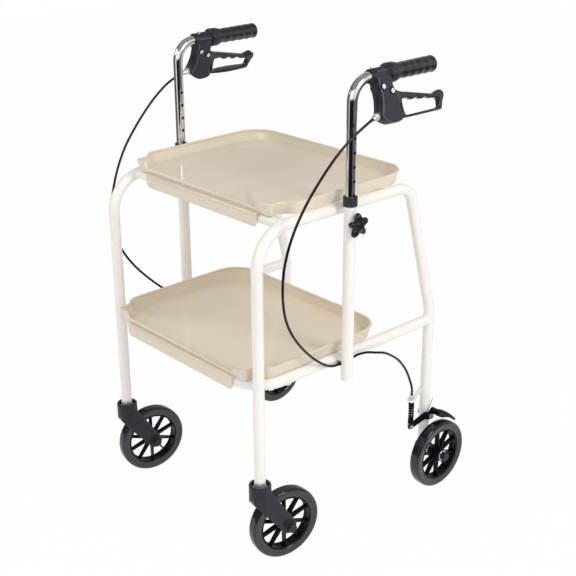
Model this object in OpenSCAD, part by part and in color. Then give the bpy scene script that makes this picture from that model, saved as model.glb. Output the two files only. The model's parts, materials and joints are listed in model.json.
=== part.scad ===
// Indoor walker on four wheels with two lift-off trays and loop hand brakes.
// Millimetres. +Z is up, the walker rolls towards -Y and +X is the user's left.
// The origin lies on the floor under the middle of the outline.

/* [Frame] */
// Distance between the centre planes of the two side frames
frame_w = 440; // [420:1:460]
// Outside diameter of the side frame and lower rail tube
tube_d = 22; // [21:0.5:23]
// Wall of the frame tubes
tube_wall = 1.5; // [1.2:0.1:2]
// Outside diameter of the straight cross tubes
cross_d = 19; // [17:0.5:20]
// Position of the front legs and caster stems
front_leg_y = -260; // [-268:1:-252]
// Position of the lower rear legs and the rear axles
rear_leg_y = 210; // [204:1:218]
// Where the sloping rear leg would meet the top rail
rear_top_y = 133; // [126:1:140]
// Height of the top rails
rail_z = 684; // [670:1:700]
// Height of the lower rail
low_rail_z = 379; // [370:1:386]
// Height of the kink in the rear leg
kink_z = 402; // [396:1:408]
// Centre line radius of the front top bend
front_bend_r = 73; // [66:1:80]
// Centre line radius of the rear top bend
rear_bend_r = 45; // [40:1:50]
// Centre line radius of the two front corners of the lower rail
low_bend_r = 62; // [58:1:62]

/* [Handles] */
// Distance from a side frame's centre plane out to its handle post
post_out = 30.5; // [30:0.25:32]
// Position of the handle posts
post_y = -61; // [-66:1:-56]
// Outside diameter of the handle posts
post_d = 23; // [22.5:0.25:24]
// Outside diameter of the chromed handle tubes
handle_d = 19; // [18.5:0.25:19]
// Height of the hand grips' centre line with the knobs in the photographed hole
grip_z = 924; // [915:1:935]
// Distance between two height holes
hole_pitch = 26.5; // [25:0.5:27]
// Length of the grips
grip_len = 107; // [104:1:114]
// Diameter of the grips at the brake housing
grip_d = 30; // [29:0.5:32]
// Radius of the height knobs over their lobes
knob_r = 24; // [20:0.5:25]

/* [Brakes] */
// Outward roll of the hand brakes about the grips
brake_roll = 18.5; // [10:0.5:20]
// Thickness of the brake lever loops
lever_t = 12; // [10:0.5:13]
// Width of the brake housings across their cheeks
housing_w = 26; // [24:0.5:28]
// Gap between brake shoe and tyre with the brake released
shoe_gap = 5.6; // [5.5:0.1:6.5]
// Width of the brake shoes
shoe_w = 11; // [9:0.5:20]
// Outside diameter of the brake cables
cable_d = 5; // [4:0.25:5]
// Outside diameter of the brake springs
spring_d = 12.5; // [11:0.5:13]
// Wire of the brake springs
spring_wire = 2.4; // [2:0.1:2.6]

/* [Wheels] */
// Diameter of all four wheels
wheel_d = 150; // [146:1:152]
// Width of the tyres
tyre_w = 24; // [22:1:25]
// Distance from a side frame's centre plane out to its rear wheel
rear_wheel_out = 40; // [39:0.5:43]
// Distance of the front axles behind the caster stems
trail = 53.5; // [52:0.5:56]
// Swivel of both casters as photographed
swivel = 9; // [0:1:20]
// Number of spokes in each wheel
spokes = 10; // [8:1:12]

/* [Trays] */
// How far the trays reach past the centre planes of the side frames
tray_over = 5; // [0:0.5:6]
// Length of the trays from the front face of the apron to the rear rim
tray_len = 348.5; // [344:0.5:352]
// Height of the rim over the underside of the deck
rim_h = 25; // [22:0.5:28]
// Thickness of the tray moulding
tray_t = 3; // [2.5:0.1:3.5]
// Distance from a tray's side to the end of the apron that hooks over the front tube
apron_in = 59; // [55:1:70]

/* [Hidden] */
$fn = 48;
eps = 0.01;
// Radial clearance of turning and sliding fits
fit = 0.05;
// Clearance left between pieces that rest on each other
seat = 0.3;
// Clearance left at welded and clamped contacts
weld = 0.1;
// How far a straight run reaches into a bend, and how much thicker the bend is
lap = 1;
skin = 0.15;
// How far the sides of a link sink into its end circles
tuck = 0.03;
tube_r = tube_d / 2;
cross_r = cross_d / 2;
post_r = post_d / 2;
handle_r = handle_d / 2;
frame_x = frame_w / 2;
post_x = frame_x + post_out;
wheel_r = wheel_d / 2;

kink_r = 60;
leg_end_z = 176;
rear_leg_end_z = wheel_r - 17;
low_front_y = front_leg_y - 5;
low_cross_y = 1;
rear_cross_y = 66;
// The front cross tube sits where the apron of the upper tray hooks over it
front_cross_y = front_leg_y + 60;
bend_rise = sqrt(pow(front_bend_r, 2) - pow(front_leg_y + front_bend_r - front_cross_y, 2));
front_cross_z = rail_z - front_bend_r + bend_rise + tube_r - cross_r;
flush = tube_r - cross_r;

post_low_z = low_rail_z - 35;
post_top_z = rail_z + 15;
collar_h = 15;
collar_skirt = 3;
collar_r = post_r + 2;
stub_r = 6;
low_stub_z = low_rail_z + 4;
stud_z = rail_z - 20.5;
stud_r = 4;
boss_r = 7;
boss_out = post_r + 2;
knob_in = boss_out + 0.5;
knob_hub = 2.5;
knob_t = 11;
knob_core_r = 11.5;
knob_lobe_r = 7.2;

handle_wall = 1.5;
handle_bend_r = 40;
handle_low_z = stud_z - 5.5 * hole_pitch;
hole_r = 3.2;
// Plain length kept below the handle's bend
hole_clear = 45;
holes_up = floor((grip_z - handle_bend_r - hole_clear - stud_z) / hole_pitch);
grip_y = 40;
grip_end_t = 4;
handle_end_y = grip_y + grip_len - grip_end_t;
grip_waves = 6;
grip_wave = 0.5;
grip_flare = 0.6;
grip_edge = 4;

// Hand brake in its own rolled frame: y along the grip, z measured from the grip's centre line
clamp_y0 = post_y + handle_bend_r + 1;
clamp_y1 = 22;
clamp_y2 = grip_y - seat;
clamp_r = 13.4;
collar2_r = 18.5;
slot_w = lever_t + 2 * seat;
lever_pivot = [17, -32.5];
cheek_pin_at = [-3, -22];
pin_r = 3;
pin_head_r = 4.5;
pin_head = 1.5;
adjuster_at = [-15, -69];
adjuster_tilt = 16;
adjuster_len = 19;
adjuster_cup = 7;

axle_r = 5;
axle_flange_r = 9;
axle_head = 4;
washer_r = 10;
washer_t = 1.8;
cap_r = 9;
cap_h = 10;
cap_edge = 1.5;
front_cap_h = 7;
rim_r = wheel_r - 18;
rim_in_r = rim_r - 3.4;
rim_half = 9.5;
rim_waist = 1.2;
hub_r = 14;
hub_half = tyre_w / 2 + 2.8;
rear_wheel_x = frame_x + rear_wheel_out;
spoke_t = 3.6;
spoke_hub = 6;
spoke_rim = 4.5;

head_r = 21.7;
head_z = 178;
head_recess_r = 16;
head_recess = 8;
pin_stem_r = 8;
// Room kept round the front tyres, which the head of the caster stem stays out of too
tyre_room = 3.5;
stem_head_r = pin_stem_r + 2;
stem_head = 3;
stem_low_z = wheel_r + sqrt(pow(wheel_r + tyre_room, 2) - pow(trail - stem_head_r, 2));
stem_plug = 28;
stem_nut_r = 12.8;
stem_washer_r = 14;
stem_washer = 2;
arm_in = hub_half + 0.7;
// The arms stand a hair proud of the head's sides
arm_t = head_r + 0.25 - arm_in;
arm_top_z = head_z - 30;
arm_top_r = 20;
arm_low_r = 16;
boss_in = arm_in + arm_t;
axle_boss_r = 13;
axle_boss = 4;

brake_x = frame_x + 16.5;
arm_plate = 4;
arm_x0 = brake_x - arm_plate / 2;
pivot_z = wheel_r + 81;
spring_y = rear_leg_y - 62;
arm_end_z = pivot_z - 3;
arm_end_r = 6.5;
bracket_z = pivot_z + 58;
bracket_t = 4;
spring_low_z = arm_end_z + arm_end_r + seat;
spring_top_z = bracket_z - seat;
spring_turns = 11;
wire_r = 0.9;
tail_r = 1;
tail_len = 36;
clamp_bolt_r = 2.5;
clamp_head_r = 4.5;
clamp_head = 3;
ferrule_top_z = bracket_z + bracket_t + 11;
shoe_in_r = wheel_r + shoe_gap;
// The shoe bears on the inner half of the tread and gets thinner towards its tip
shoe_t = 5.5;
shoe_shift = [-6, 4];
shoe_x0 = rear_wheel_x - tyre_w / 2 + 1;
bridge = [rear_leg_y + 7, pivot_z + 11];
bridge_r = 7;

guide_r = (post_out - tube_r - post_r) / 2 - seat;
guide_x = frame_x + tube_r + guide_r + seat;
guide_z = low_stub_z - stub_r - guide_r - weld;
guide_len = 16;

tray_x = frame_x + tray_over;
apron_w = 2 * (tray_x - apron_in);
rim_lean = 6;
lip_h = 13;
apron_drop = 26;
corner_r = 60;
turn_r = 30;
notch_r = 24;
flare_a = 10;
lobe_r = 12;
lobe_in = 4.4;
// How far inside a front lobe the high rim steps down to the lip
step_in = 18.6;
step_len = 8;
// Tray plan in the tray's own frame: y runs back from the axis of the tube under the apron
tray_front = -14.5;
tray_back = tray_front + tray_len;
hook_r = tube_r + seat;

// Centres of the arcs along one side of the tray plan, from the side wall to the front
lobe_c = [tray_x - turn_r - lobe_in, tray_front + lobe_r];
rim_stop_x = lobe_c.x - step_in;
notch_c = lobe_c + (lobe_r + notch_r) * [cos(flare_a), sin(flare_a)];
turn_x = tray_x - turn_r;
turn_y = notch_c.y + sqrt(pow(turn_r + notch_r, 2) - pow(notch_c.x - turn_x, 2));
turn_c = [turn_x, turn_y];
turn_end = atan2(notch_c.y - turn_y, notch_c.x - turn_x);
rear_c = [tray_x - corner_r, tray_back - corner_r];

function unit(v) = v / norm(v);
function left_of(v) = [-v.y, v.x];

// Lays a drawing in x and y into the side view: x becomes y, y becomes z and z becomes x.
module side_view(x = 0)
  translate([x, 0, 0])
    rotate([90, 0, 90])
      children();

// Stands a shape made along z on the x axis instead.
module along_x(x, y, z)
  translate([x, y, z])
    rotate([0, 90, 0])
      children();

// The right-hand piece is the mirror image of the left-hand one.
module right()
  mirror([1, 0, 0])
    children();

module both() {
  children();
  right() children();
}

module section(r, wall)
  difference() {
    circle(r);
    if (wall > 0) circle(r - wall);
  }

// A ring along z.
module tube(r, wall, h)
  linear_extrude(h)
    section(r, wall);

// One corner of a bent tube, from the tangent point before it to the one after it.
module bend(r, wall, p, u, v, bend_r) {
  turn = (u.x * v.y - u.y * v.x) > 0 ? 1 : -1;
  angle = acos(u * v);
  centre = p - u * bend_r * tan(angle / 2) + left_of(u) * bend_r * turn;
  start = atan2(u.y, u.x) - 90 * turn;
  translate([centre.x, centre.y, 0])
    rotate([0, 0, turn > 0 ? start : start - angle])
      rotate_extrude(angle = angle)
        translate([bend_r, 0])
          section(r + skin, wall > 0 ? wall + 2 * skin : 0);
}

// A tube of radius r whose centre line follows the points, rounded at each inner point.
// The straight runs end inside the bends, which are thicker by a hair.
module bent_tube(r, wall, pts, radii) {
  last = len(pts) - 1;
  dirs = [for (i = [0:last - 1]) unit(pts[i + 1] - pts[i])];
  cut = [for (i = [0:last]) i == 0 || i == last ? 0
    : radii[i - 1] * tan(acos(dirs[i - 1] * dirs[i]) / 2) - lap];
  for (i = [0:last - 1]) {
    from = pts[i] + dirs[i] * cut[i];
    length = norm(pts[i + 1] - pts[i]) - cut[i] - cut[i + 1];
    translate([from.x, from.y, 0])
      rotate([0, 90, atan2(dirs[i].y, dirs[i].x)])
        tube(r, wall, length);
  }
  for (i = [1:last - 1]) bend(r, wall, pts[i], dirs[i - 1], dirs[i], radii[i - 1]);
}

// Two circles joined by their outer tangents.
module link2d(p, rp, q, rq) {
  axis = unit(q - p);
  open = acos((rp - rq) / norm(q - p));
  n1 = [axis.x * cos(open) - axis.y * sin(open), axis.y * cos(open) + axis.x * sin(open)];
  n2 = [axis.x * cos(open) + axis.y * sin(open), axis.y * cos(open) - axis.x * sin(open)];
  translate(p) circle(rp);
  translate(q) circle(rq);
  rp_in = rp - tuck;
  rq_in = rq - tuck;
  polygon([p + rp_in * n1, p + rp_in * n2, q + rq_in * n2, q + rq_in * n1]);
}

side_path = [[front_leg_y, leg_end_z], [front_leg_y, rail_z], [rear_top_y, rail_z],
  [rear_leg_y, kink_z], [rear_leg_y, rear_leg_end_z]];
side_radii = [front_bend_r, rear_bend_r, kink_r];

module side_frame()
  color("ivory")
    difference() {
      side_view(frame_x) bent_tube(tube_r, tube_wall, side_path, side_radii);
      along_x(frame_x - 2 * tube_r, rear_leg_y, wheel_r) cylinder(r = axle_r + fit, h = 4 * tube_r);
      along_x(frame_x - 2 * tube_r, rear_leg_y, pivot_z) cylinder(r = pin_r + fit, h = 4 * tube_r);
    }

// Solid stand-in for the front top bend, to cope the cross tube against.
module front_bend_rod()
  side_view(frame_x)
    bent_tube(tube_r + weld, 0, [[front_leg_y, rail_z - 2 * front_bend_r], [front_leg_y, rail_z],
      [front_leg_y + 2 * front_bend_r, rail_z]], [front_bend_r]);

module lower_rail()
  color("ivory")
    difference() {
      translate([0, 0, low_rail_z])
        bent_tube(tube_r, tube_wall, [[frame_x, rear_leg_y], [frame_x, low_front_y],
          [-frame_x, low_front_y], [-frame_x, rear_leg_y]], [low_bend_r, low_bend_r]);
      both() translate([frame_x, rear_leg_y, 0]) cylinder(r = tube_r + weld, h = 2 * low_rail_z);
    }

module front_cross_tube()
  color("ivory")
    difference() {
      along_x(-frame_x, front_cross_y, front_cross_z) tube(cross_r, tube_wall, frame_w);
      both() front_bend_rod();
    }

module level_cross_tube(y, z)
  color("ivory")
    difference() {
      along_x(-frame_x, y, z + flush) tube(cross_r, tube_wall, frame_w);
      both()
        translate([frame_x, y - 2 * cross_r, z])
          rotate([-90, 0, 0]) cylinder(r = tube_r + weld, h = 4 * cross_r);
    }

module handle_post()
  color("ivory")
    difference() {
      union() {
        translate([post_x, post_y, post_low_z])
          tube(post_r, post_r - handle_r - fit, post_top_z - post_low_z);
        along_x(post_x + handle_r + 1, post_y, stud_z) cylinder(r = boss_r, h = boss_out - handle_r - 1);
      }
      along_x(post_x, post_y, stud_z) cylinder(r = stud_r + fit, h = 2 * boss_out);
    }

module post_stub(z)
  difference() {
    along_x(frame_x, post_y, z) cylinder(r = stub_r, h = post_out);
    translate([post_x, post_y, 0]) cylinder(r = post_r + weld, h = 2 * rail_z);
    translate([frame_x, post_y - 2 * stub_r, z < stud_z ? low_rail_z : rail_z])
      rotate([-90, 0, 0]) cylinder(r = tube_r + weld, h = 4 * stub_r);
  }

module post_stubs()
  color("ivory")
    both() {
      post_stub(rail_z);
      post_stub(low_stub_z);
    }

// Plastic sleeve on the post's mouth, with a short skirt outside the post.
module post_collars()
  color("dimgray")
    both()
      translate([post_x, post_y, post_top_z]) {
        translate([0, 0, weld]) tube(collar_r, collar_r - handle_r - fit, collar_h);
        translate([0, 0, -collar_skirt]) tube(collar_r, collar_r - post_r - fit, collar_skirt + weld);
      }

module rear_axle() {
  inner = frame_x - tube_r - weld;
  outer = rear_wheel_x + hub_half + 2.3;
  along_x(inner - axle_head, rear_leg_y, wheel_r) cylinder(r = axle_flange_r, h = axle_head);
  along_x(inner - axle_head, rear_leg_y, wheel_r) cylinder(r = axle_r, h = outer + 2 + axle_head - inner);
  along_x(frame_x + tube_r + weld, rear_leg_y, wheel_r)
    cylinder(r = axle_flange_r, h = rear_wheel_out - tube_r - hub_half - weld - seat);
}

module rear_axles() color("silver") both() rear_axle();

module axle_washers()
  color("silver")
    both()
      along_x(rear_wheel_x + hub_half + seat, rear_leg_y, wheel_r)
        tube(washer_r, washer_r - axle_r - fit, washer_t);

// Push-on cap over an axle's end, with a bevelled edge.
module axle_cap(h) {
  cylinder(r = cap_r, h = h);
  translate([0, 0, h]) cylinder(r1 = cap_r, r2 = cap_r - cap_edge, h = cap_edge);
}

module axle_caps()
  color("dimgray")
    both()
      along_x(rear_wheel_x + hub_half + seat + washer_t + weld, rear_leg_y, wheel_r)
        difference() {
          axle_cap(cap_h);
          translate([0, 0, -eps]) cylinder(r = axle_r + fit, h = 4.2);
        }

module brake_pivot() {
  inner = frame_x - tube_r - weld;
  along_x(inner - 3, rear_leg_y, pivot_z) cylinder(r = 6, h = 3);
  along_x(inner - 3, rear_leg_y, pivot_z) cylinder(r = pin_r, h = arm_x0 + arm_plate + 5 - inner);
  along_x(frame_x + tube_r + weld, rear_leg_y, pivot_z)
    cylinder(r = 5, h = arm_x0 - frame_x - tube_r - weld - seat);
  along_x(arm_x0 + arm_plate + seat, rear_leg_y, pivot_z) cylinder(r = 5.5, h = 3.5);
}

module brake_pivots() color("silver") both() brake_pivot();

module cable_brackets()
  color("ivory")
    both()
      translate([0, 0, bracket_z])
        linear_extrude(bracket_t)
          difference() {
            polygon([[brake_x - 8, spring_y - 8], [brake_x + 8, spring_y - 8],
              [brake_x + 8, rear_leg_y - 22], [frame_x + 13, rear_leg_y + 3],
              [frame_x - 8, rear_leg_y - 7], [frame_x - 8, rear_leg_y - 20]]);
            translate([frame_x, rear_leg_y]) circle(tube_r + weld);
            translate([brake_x, spring_y]) circle(wire_r + seat);
          }

// Metal sleeve that ends the cable's outer casing on the bracket.
module cable_stops()
  color("silver")
    both()
      translate([brake_x, spring_y, bracket_z + bracket_t + weld])
        difference() {
          union() {
            cylinder(r = cable_d / 2 + 3, h = 4, $fn = 24);
            cylinder(r = cable_d / 2 + 1.6, h = 11 - weld);
          }
          translate([0, 0, 3]) cylinder(r = cable_d / 2 + fit, h = 11);
          translate([0, 0, -eps]) cylinder(r = wire_r + seat, h = 11);
        }

module cable_guides()
  color("dimgray")
    both()
      translate([guide_x, post_y - guide_len / 2, guide_z])
        rotate([-90, 0, 0])
          tube(guide_r, guide_r - cable_d / 2 - fit, guide_len);

// Stem fixed in the front leg, with a nut and washer under the leg and a head that holds the caster on.
module caster_stem() {
  plug_r = tube_r - tube_wall - fit;
  washer_z = head_z - head_recess + seat;
  translate([0, 0, leg_end_z]) cylinder(r = plug_r, h = stem_plug);
  translate([0, 0, washer_z]) cylinder(r = stem_washer_r, h = stem_washer);
  translate([0, 0, washer_z]) cylinder(r = stem_nut_r, h = leg_end_z - weld - washer_z, $fn = 6);
  translate([0, 0, stem_low_z]) cylinder(r = pin_stem_r, h = leg_end_z + stem_head - stem_low_z);
  translate([0, 0, stem_low_z]) cylinder(r = stem_head_r, h = stem_head);
}

module caster_stems()
  color("silver")
    both()
      translate([frame_x, front_leg_y, 0]) caster_stem();

// Brake cable

// The casing starts inside the tip of the adjuster, which is rolled with the hand brake.
function rolled(y, z) = [post_x - z * sin(brake_roll), y, grip_z + z * cos(brake_roll)];
function along_adjuster(d) = rolled(adjuster_at.x - d * cos(adjuster_tilt),
  adjuster_at.y - d * sin(adjuster_tilt));
adjuster_tip = along_adjuster(adjuster_len);
adjuster_back = along_adjuster(adjuster_len - adjuster_cup);
guide_at = [guide_x, post_y, guide_z];
stop_at = [brake_x, spring_y, ferrule_top_z];
// With the grips set very low the cable dips less, so that it stays above the height knob.
knob_top = stud_z + knob_r + cable_d / 2 + 1;
dip = max(0.35, min(1, (adjuster_tip.z - knob_top) / 60));
// Points from the hand brake forward and down, then from the post back to the bracket
cable_points = concat(
  [adjuster_back, adjuster_tip, 2 * adjuster_tip - adjuster_back],
  [for (d = [[2, -30, -15], [1, -54, -26], [-1, -86, -49], [-3, -122, -84], [-5, -157, -126],
    [-8, -183, -172], [-10, -200, -222]]) adjuster_tip + [d.x, d.y, dip * d.z]],
  [for (d = [[29, -178, 212], [26, -172, 167], [21, -157, 130], [16, -134, 95], [10, -105, 62],
    [5, -72, 31], [1.5, -40, 8], [0, -20, 0.4], [0, -8, 0], [0, 8, 0], [0, 20, 0.4], [2, 46, 4],
    [6, 66, 3], [10, 84, -2], [11, 110, -11]]) guide_at + d],
  [for (d = [[4, -66, 112], [2, -43, 92], [1, -22, 64], [0, -7, 34], [0, -0.8, 16], [0, 0, 5],
    [0, 0, 0], [0, 0, -7.5]]) stop_at + d]);

// Catmull-Rom point between the second and third of four points.
function between(a, b, c, d, t) = 0.5 * (2 * b + (c - a) * t + (2 * a - 5 * b + 4 * c - d) * t * t
  + (3 * b - a - 3 * c + d) * t * t * t);
function smooth(p, steps) = concat([for (i = [0:len(p) - 2], s = [0:steps - 1])
  between(p[max(i - 1, 0)], p[i], p[i + 1], p[min(i + 2, len(p) - 1)], s / steps)], [p[len(p) - 1]]);

// A closed round tube through the rings, each ring a list of points in the same order.
module ring_tube(rings) {
  n = len(rings[0]);
  last = len(rings) - 1;
  polyhedron([for (ring = rings) each ring], concat(
    [[for (j = [0:n - 1]) j]],
    [for (i = [0:last - 1], j = [0:n - 1]) [i * n + j, (i + 1) * n + j, (i + 1) * n + (j + 1) % n,
      i * n + (j + 1) % n]],
    [[for (j = [n - 1:-1:0]) last * n + j]]));
}

// The cable keeps close to a plane across x, so x never runs along it.
module brake_cable() {
  sides = 8;
  path = smooth(cable_points, 2);
  last = len(path) - 1;
  rings = [for (i = [0:last])
    let (t = unit(path[min(i + 1, last)] - path[max(i - 1, 0)]),
      u = unit(cross(t, [1, 0, 0])), v = cross(t, u))
    [for (j = [0:sides - 1])
      let (a = 360 * j / sides) path[i] + cable_d / 2 * (u * cos(a) + v * sin(a))]];
  color("dimgray") ring_tube(rings);
}

// Compression spring round the inner wire, between the arm's end and the bracket.
// It starts on the inner side, so that the first turn has risen where the arm slopes up under it.
module brake_spring() {
  sides = 6;
  per_turn = 8;
  coil_r = (spring_d - spring_wire) / 2;
  low = spring_low_z + spring_wire / 2;
  rise = spring_top_z - spring_low_z - spring_wire;
  count = spring_turns * per_turn;
  pitch = rise / spring_turns;
  slope = atan(pitch / (2 * PI * coil_r));
  coil = [for (i = [0:count])
    let (a = 180 + 360 * i / per_turn, out = [cos(a), sin(a), 0],
      t = [-sin(a) * cos(slope), cos(a) * cos(slope), sin(slope)])
    [coil_r * out + [0, 0, low + rise * i / count], out, cross(t, out), t]];
  first = coil[0];
  final = coil[count];
  spine = concat([[first[0] + spring_wire * [0, 1, 0], first[1], first[2]]], coil,
    [[final[0] - spring_wire * [0, 1, 0], final[1], final[2]]]);
  echo(least_self_gap = pitch * cos(slope) - spring_wire);
  color("dimgray")
    translate([brake_x, spring_y, 0])
      ring_tube([for (s = spine) [for (j = [0:sides - 1])
        s[0] + spring_wire / 2 * (s[1] * cos(360 * j / sides) + s[2] * sin(360 * j / sides))]]);
}

// Bare inner wire from the casing's end down to the clamp on the brake arm.
module brake_wire()
  color("silver")
    translate([brake_x, spring_y, arm_end_z + arm_end_r - 1])
      cylinder(r = wire_r, h = bracket_z + bracket_t + 2 - arm_end_z - arm_end_r + 1, $fn = 16);

// Trays

// A station on the rim is its outer top edge in plan, the way out of the tray there and the height.
// The way out is along the arc's radius for side = 1 and against it for side = -1.
function arc_stations(c, r, side, a0, a1, from, n) = [for (i = [from:n])
  let (a = a0 + (a1 - a0) * i / n, out = [cos(a), sin(a)]) [c + r * out, side * out, rim_h]];
rim_left = concat(
  arc_stations(rear_c, corner_r, 1, 90, 0, 0, 8),
  arc_stations(turn_c, turn_r, 1, 0, turn_end, 0, 4),
  arc_stations(notch_c, notch_r, -1, turn_end + 180, 180 + flare_a, 1, 5),
  arc_stations(lobe_c, lobe_r, 1, flare_a, -90, 1, 5),
  [[[rim_stop_x, tray_front], [0, -1], rim_h], [[rim_stop_x - step_len, tray_front], [0, -1], lip_h]]);
rim_right = [for (i = [len(rim_left) - 1:-1:0])
  let (s = rim_left[i]) [[-s[0].x, s[0].y], [-s[1].x, s[1].y], s[2]]];

// Section through the rim from the deck's underside round the rolled edge to the deck's top.
// The first number is the distance out from the outer top edge.
function rim_section(h) = [[-rim_lean - 5, 0], [-rim_lean - 3, 0], [-rim_lean - 1, 0.8], [-rim_lean, 3],
  [-0.5, h - 4], [0, h - 2], [-0.8, h - 0.6], [-2.2, h], [-4, h], [-5.4, h - 0.8], [-5.6, h - 2.4],
  [-tray_t - 1, h - 4.5], [-rim_lean - tray_t, tray_t + 1.8], [-rim_lean - 5, tray_t]];

module tray_shell() {
  stations = concat(rim_left, rim_right);
  n = len(stations);
  m = len(rim_section(rim_h));
  points = [for (s = stations, q = rim_section(s[2]))
    [s[0].x + s[1].x * q[0], s[0].y + s[1].y * q[0], q[1]]];
  band = [for (i = [0:n - 1], j = [0:m - 2])
    let (k = (i + 1) % n)
    each [[i * m + j, k * m + j + 1, i * m + j + 1], [i * m + j, k * m + j, k * m + j + 1]]];
  polyhedron(points, concat(band, [[for (i = [n - 1:-1:0]) i * m]], [[for (i = [0:n - 1]) i * m + m - 1]]));
}

// Apron in side view: it hangs in front of the tube and wraps its upper front quarter.
module apron_section()
  difference() {
    polygon([[tray_front + 1.5, -apron_drop], [-hook_r, -apron_drop], [-hook_r, -hook_r], [0, -hook_r],
      [0, 1], [tray_front + 4, 1], [tray_front + 1, -2], [tray_front, -5], [tray_front, 2 - apron_drop]]);
    translate([0, -hook_r]) circle(hook_r);
  }

module tray() {
  tray_shell();
  side_view(-apron_w / 2) linear_extrude(apron_w) apron_section();
}

module upper_tray()
  color("wheat")
    translate([0, front_cross_y, rail_z + tube_r + seat]) tray();

module lower_tray()
  color("wheat")
    translate([0, low_front_y, low_rail_z + tube_r + seat]) tray();

// Handles

module handle_tube()
  color("silver")
    difference() {
      side_view(post_x)
        bent_tube(handle_r, handle_wall, [[post_y, handle_low_z], [post_y, grip_z], [handle_end_y, grip_z]],
          [handle_bend_r]);
      for (k = [-1:holes_up])
        along_x(post_x - post_r, post_y, stud_z + hole_pitch * k) cylinder(r = hole_r, h = post_d);
    }

// Rubber grip: a flange by the brake housing, shallow waves, a slight flare and a bevelled closed end.
module grip() {
  r = grip_d / 2;
  body = grip_len - 20;
  wave = [for (i = [0:4 * grip_waves])
    let (t = i / (4 * grip_waves)) [r - grip_wave * (1 - cos(90 * i)) + grip_flare * t, 8 + body * t]];
  end_r = r + grip_flare;
  color("dimgray")
    translate([post_x, grip_y, grip_z])
      rotate([-90, 0, 0])
        rotate_extrude()
          polygon(concat([[handle_r + fit, 0], [r + 2.5, 0], [r + 2.5, 3.5], [r + 0.5, 6]], wave,
            [[end_r, grip_len - grip_edge], [end_r - grip_edge, grip_len], [0, grip_len],
            [0, grip_len - grip_end_t + weld], [handle_r + fit, grip_len - grip_end_t + weld]]));
}

// Puts a hand brake on its grip: rolled outwards about the grip's centre line.
module brake_place()
  translate([post_x, 0, grip_z])
    rotate([0, -brake_roll, 0])
      children();

module housing_outline()
  polygon([[-12, 7], [-11.3, -11], [-10, -27], [-10.3, -44], [-14.5, -61], [-18.5, -71], [-15, -77],
    [-6, -83], [5, -88], [12, -89], [22, -88], [31, -85], [35, -80], [31, -72], [29, -62], [33, -51],
    [30, -40], [23.5, -27], [22.5, -15], [22.5, 7]]);

// Room for the lever's base between the cheeks, open to the rear.
module housing_slot()
  polygon([[4, -21], [2, -44], [10, -57], [60, -57], [60, -21]]);

module along_grip(y0, r, h)
  translate([0, y0, 0])
    rotate([-90, 0, 0])
      cylinder(r = r, h = h);

// Laid along the adjuster: z runs forwards and down out of the housing.
module adjuster_axis()
  translate([0, adjuster_at.x, adjuster_at.y])
    rotate([90 + adjuster_tilt, 0, 0])
      children();

module brake_housing()
  color("dimgray")
    brake_place()
      difference() {
        union() {
          side_view(-housing_w / 2) linear_extrude(housing_w) housing_outline();
          along_grip(clamp_y0, clamp_r, clamp_y2 - clamp_y0);
          along_grip(clamp_y1, collar2_r, clamp_y2 - clamp_y1);
        }
        along_grip(clamp_y0 - 1, handle_r + fit, clamp_y2 - clamp_y0 + 2);
        side_view(-slot_w / 2) linear_extrude(slot_w) housing_slot();
        for (q = [lever_pivot, cheek_pin_at])
          along_x(-housing_w, q.x, q.y) cylinder(r = pin_r + fit, h = 2 * housing_w);
        adjuster_axis() translate([0, 0, -7]) cylinder(r = 3.4 + fit, h = 20);
      }

module cheek_pin(q) {
  half = housing_w / 2 + weld;
  along_x(-half - pin_head, q.x, q.y) cylinder(r = pin_head_r, h = pin_head);
  along_x(-half - pin_head, q.x, q.y) cylinder(r = pin_r, h = 2 * (half + pin_head));
  along_x(half, q.x, q.y) cylinder(r = pin_head_r, h = pin_head);
}

// Socket screw in the top of the clamp.
module clamp_screw()
  translate([0, clamp_y1 - 30, clamp_r + weld])
    difference() {
      cylinder(r = 3.5, h = 2.5);
      translate([0, 0, 1]) cylinder(r = 1.8, h = 2);
    }

module housing_pins()
  color("silver")
    brake_place() {
      cheek_pin(lever_pivot);
      cheek_pin(cheek_pin_at);
      clamp_screw();
    }

// Threaded barrel and lock nut that the cable's casing ends in.
module cable_adjuster()
  color("silver")
    brake_place()
      adjuster_axis()
        difference() {
          union() {
            translate([0, 0, -6]) cylinder(r = 3.4, h = adjuster_len + 6);
            translate([0, 0, 5]) cylinder(r = 5.5, h = 5);
            translate([0, 0, adjuster_len - adjuster_cup])
              cylinder(r = cable_d / 2 + 2, h = adjuster_cup);
          }
          translate([0, 0, adjuster_len - adjuster_cup - 1])
            cylinder(r = cable_d / 2 + fit, h = adjuster_len);
          translate([0, 0, -7]) cylinder(r = wire_r + seat, h = adjuster_len);
        }

// One closed loop: base in the housing, finger bar with three scallops, end knob and thin lower bar.
module lever_outline()
  difference() {
    union() {
      link2d(lever_pivot, 8, [40, -43], 7);
      difference() {
        link2d([40, -43], 7, [126, -57], 3.2);
        for (k = [0:2]) translate([60 + 24 * k, -71 - 2.85 * k]) circle(20);
      }
      link2d([126, -57], 3.2, [147, -58], 9);
      link2d([147, -60], 5, [140.5, -83], 2.4);
      link2d([140.5, -83], 2.4, [42.5, -82.5], 2.1);
      link2d([42.5, -82.5], 2.1, [40.5, -46], 3.6);
    }
    translate(lever_pivot) circle(pin_r + fit);
  }

module brake_lever()
  color("dimgray")
    brake_place()
      side_view(-lever_t / 2) linear_extrude(lever_t) lever_outline();

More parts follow.
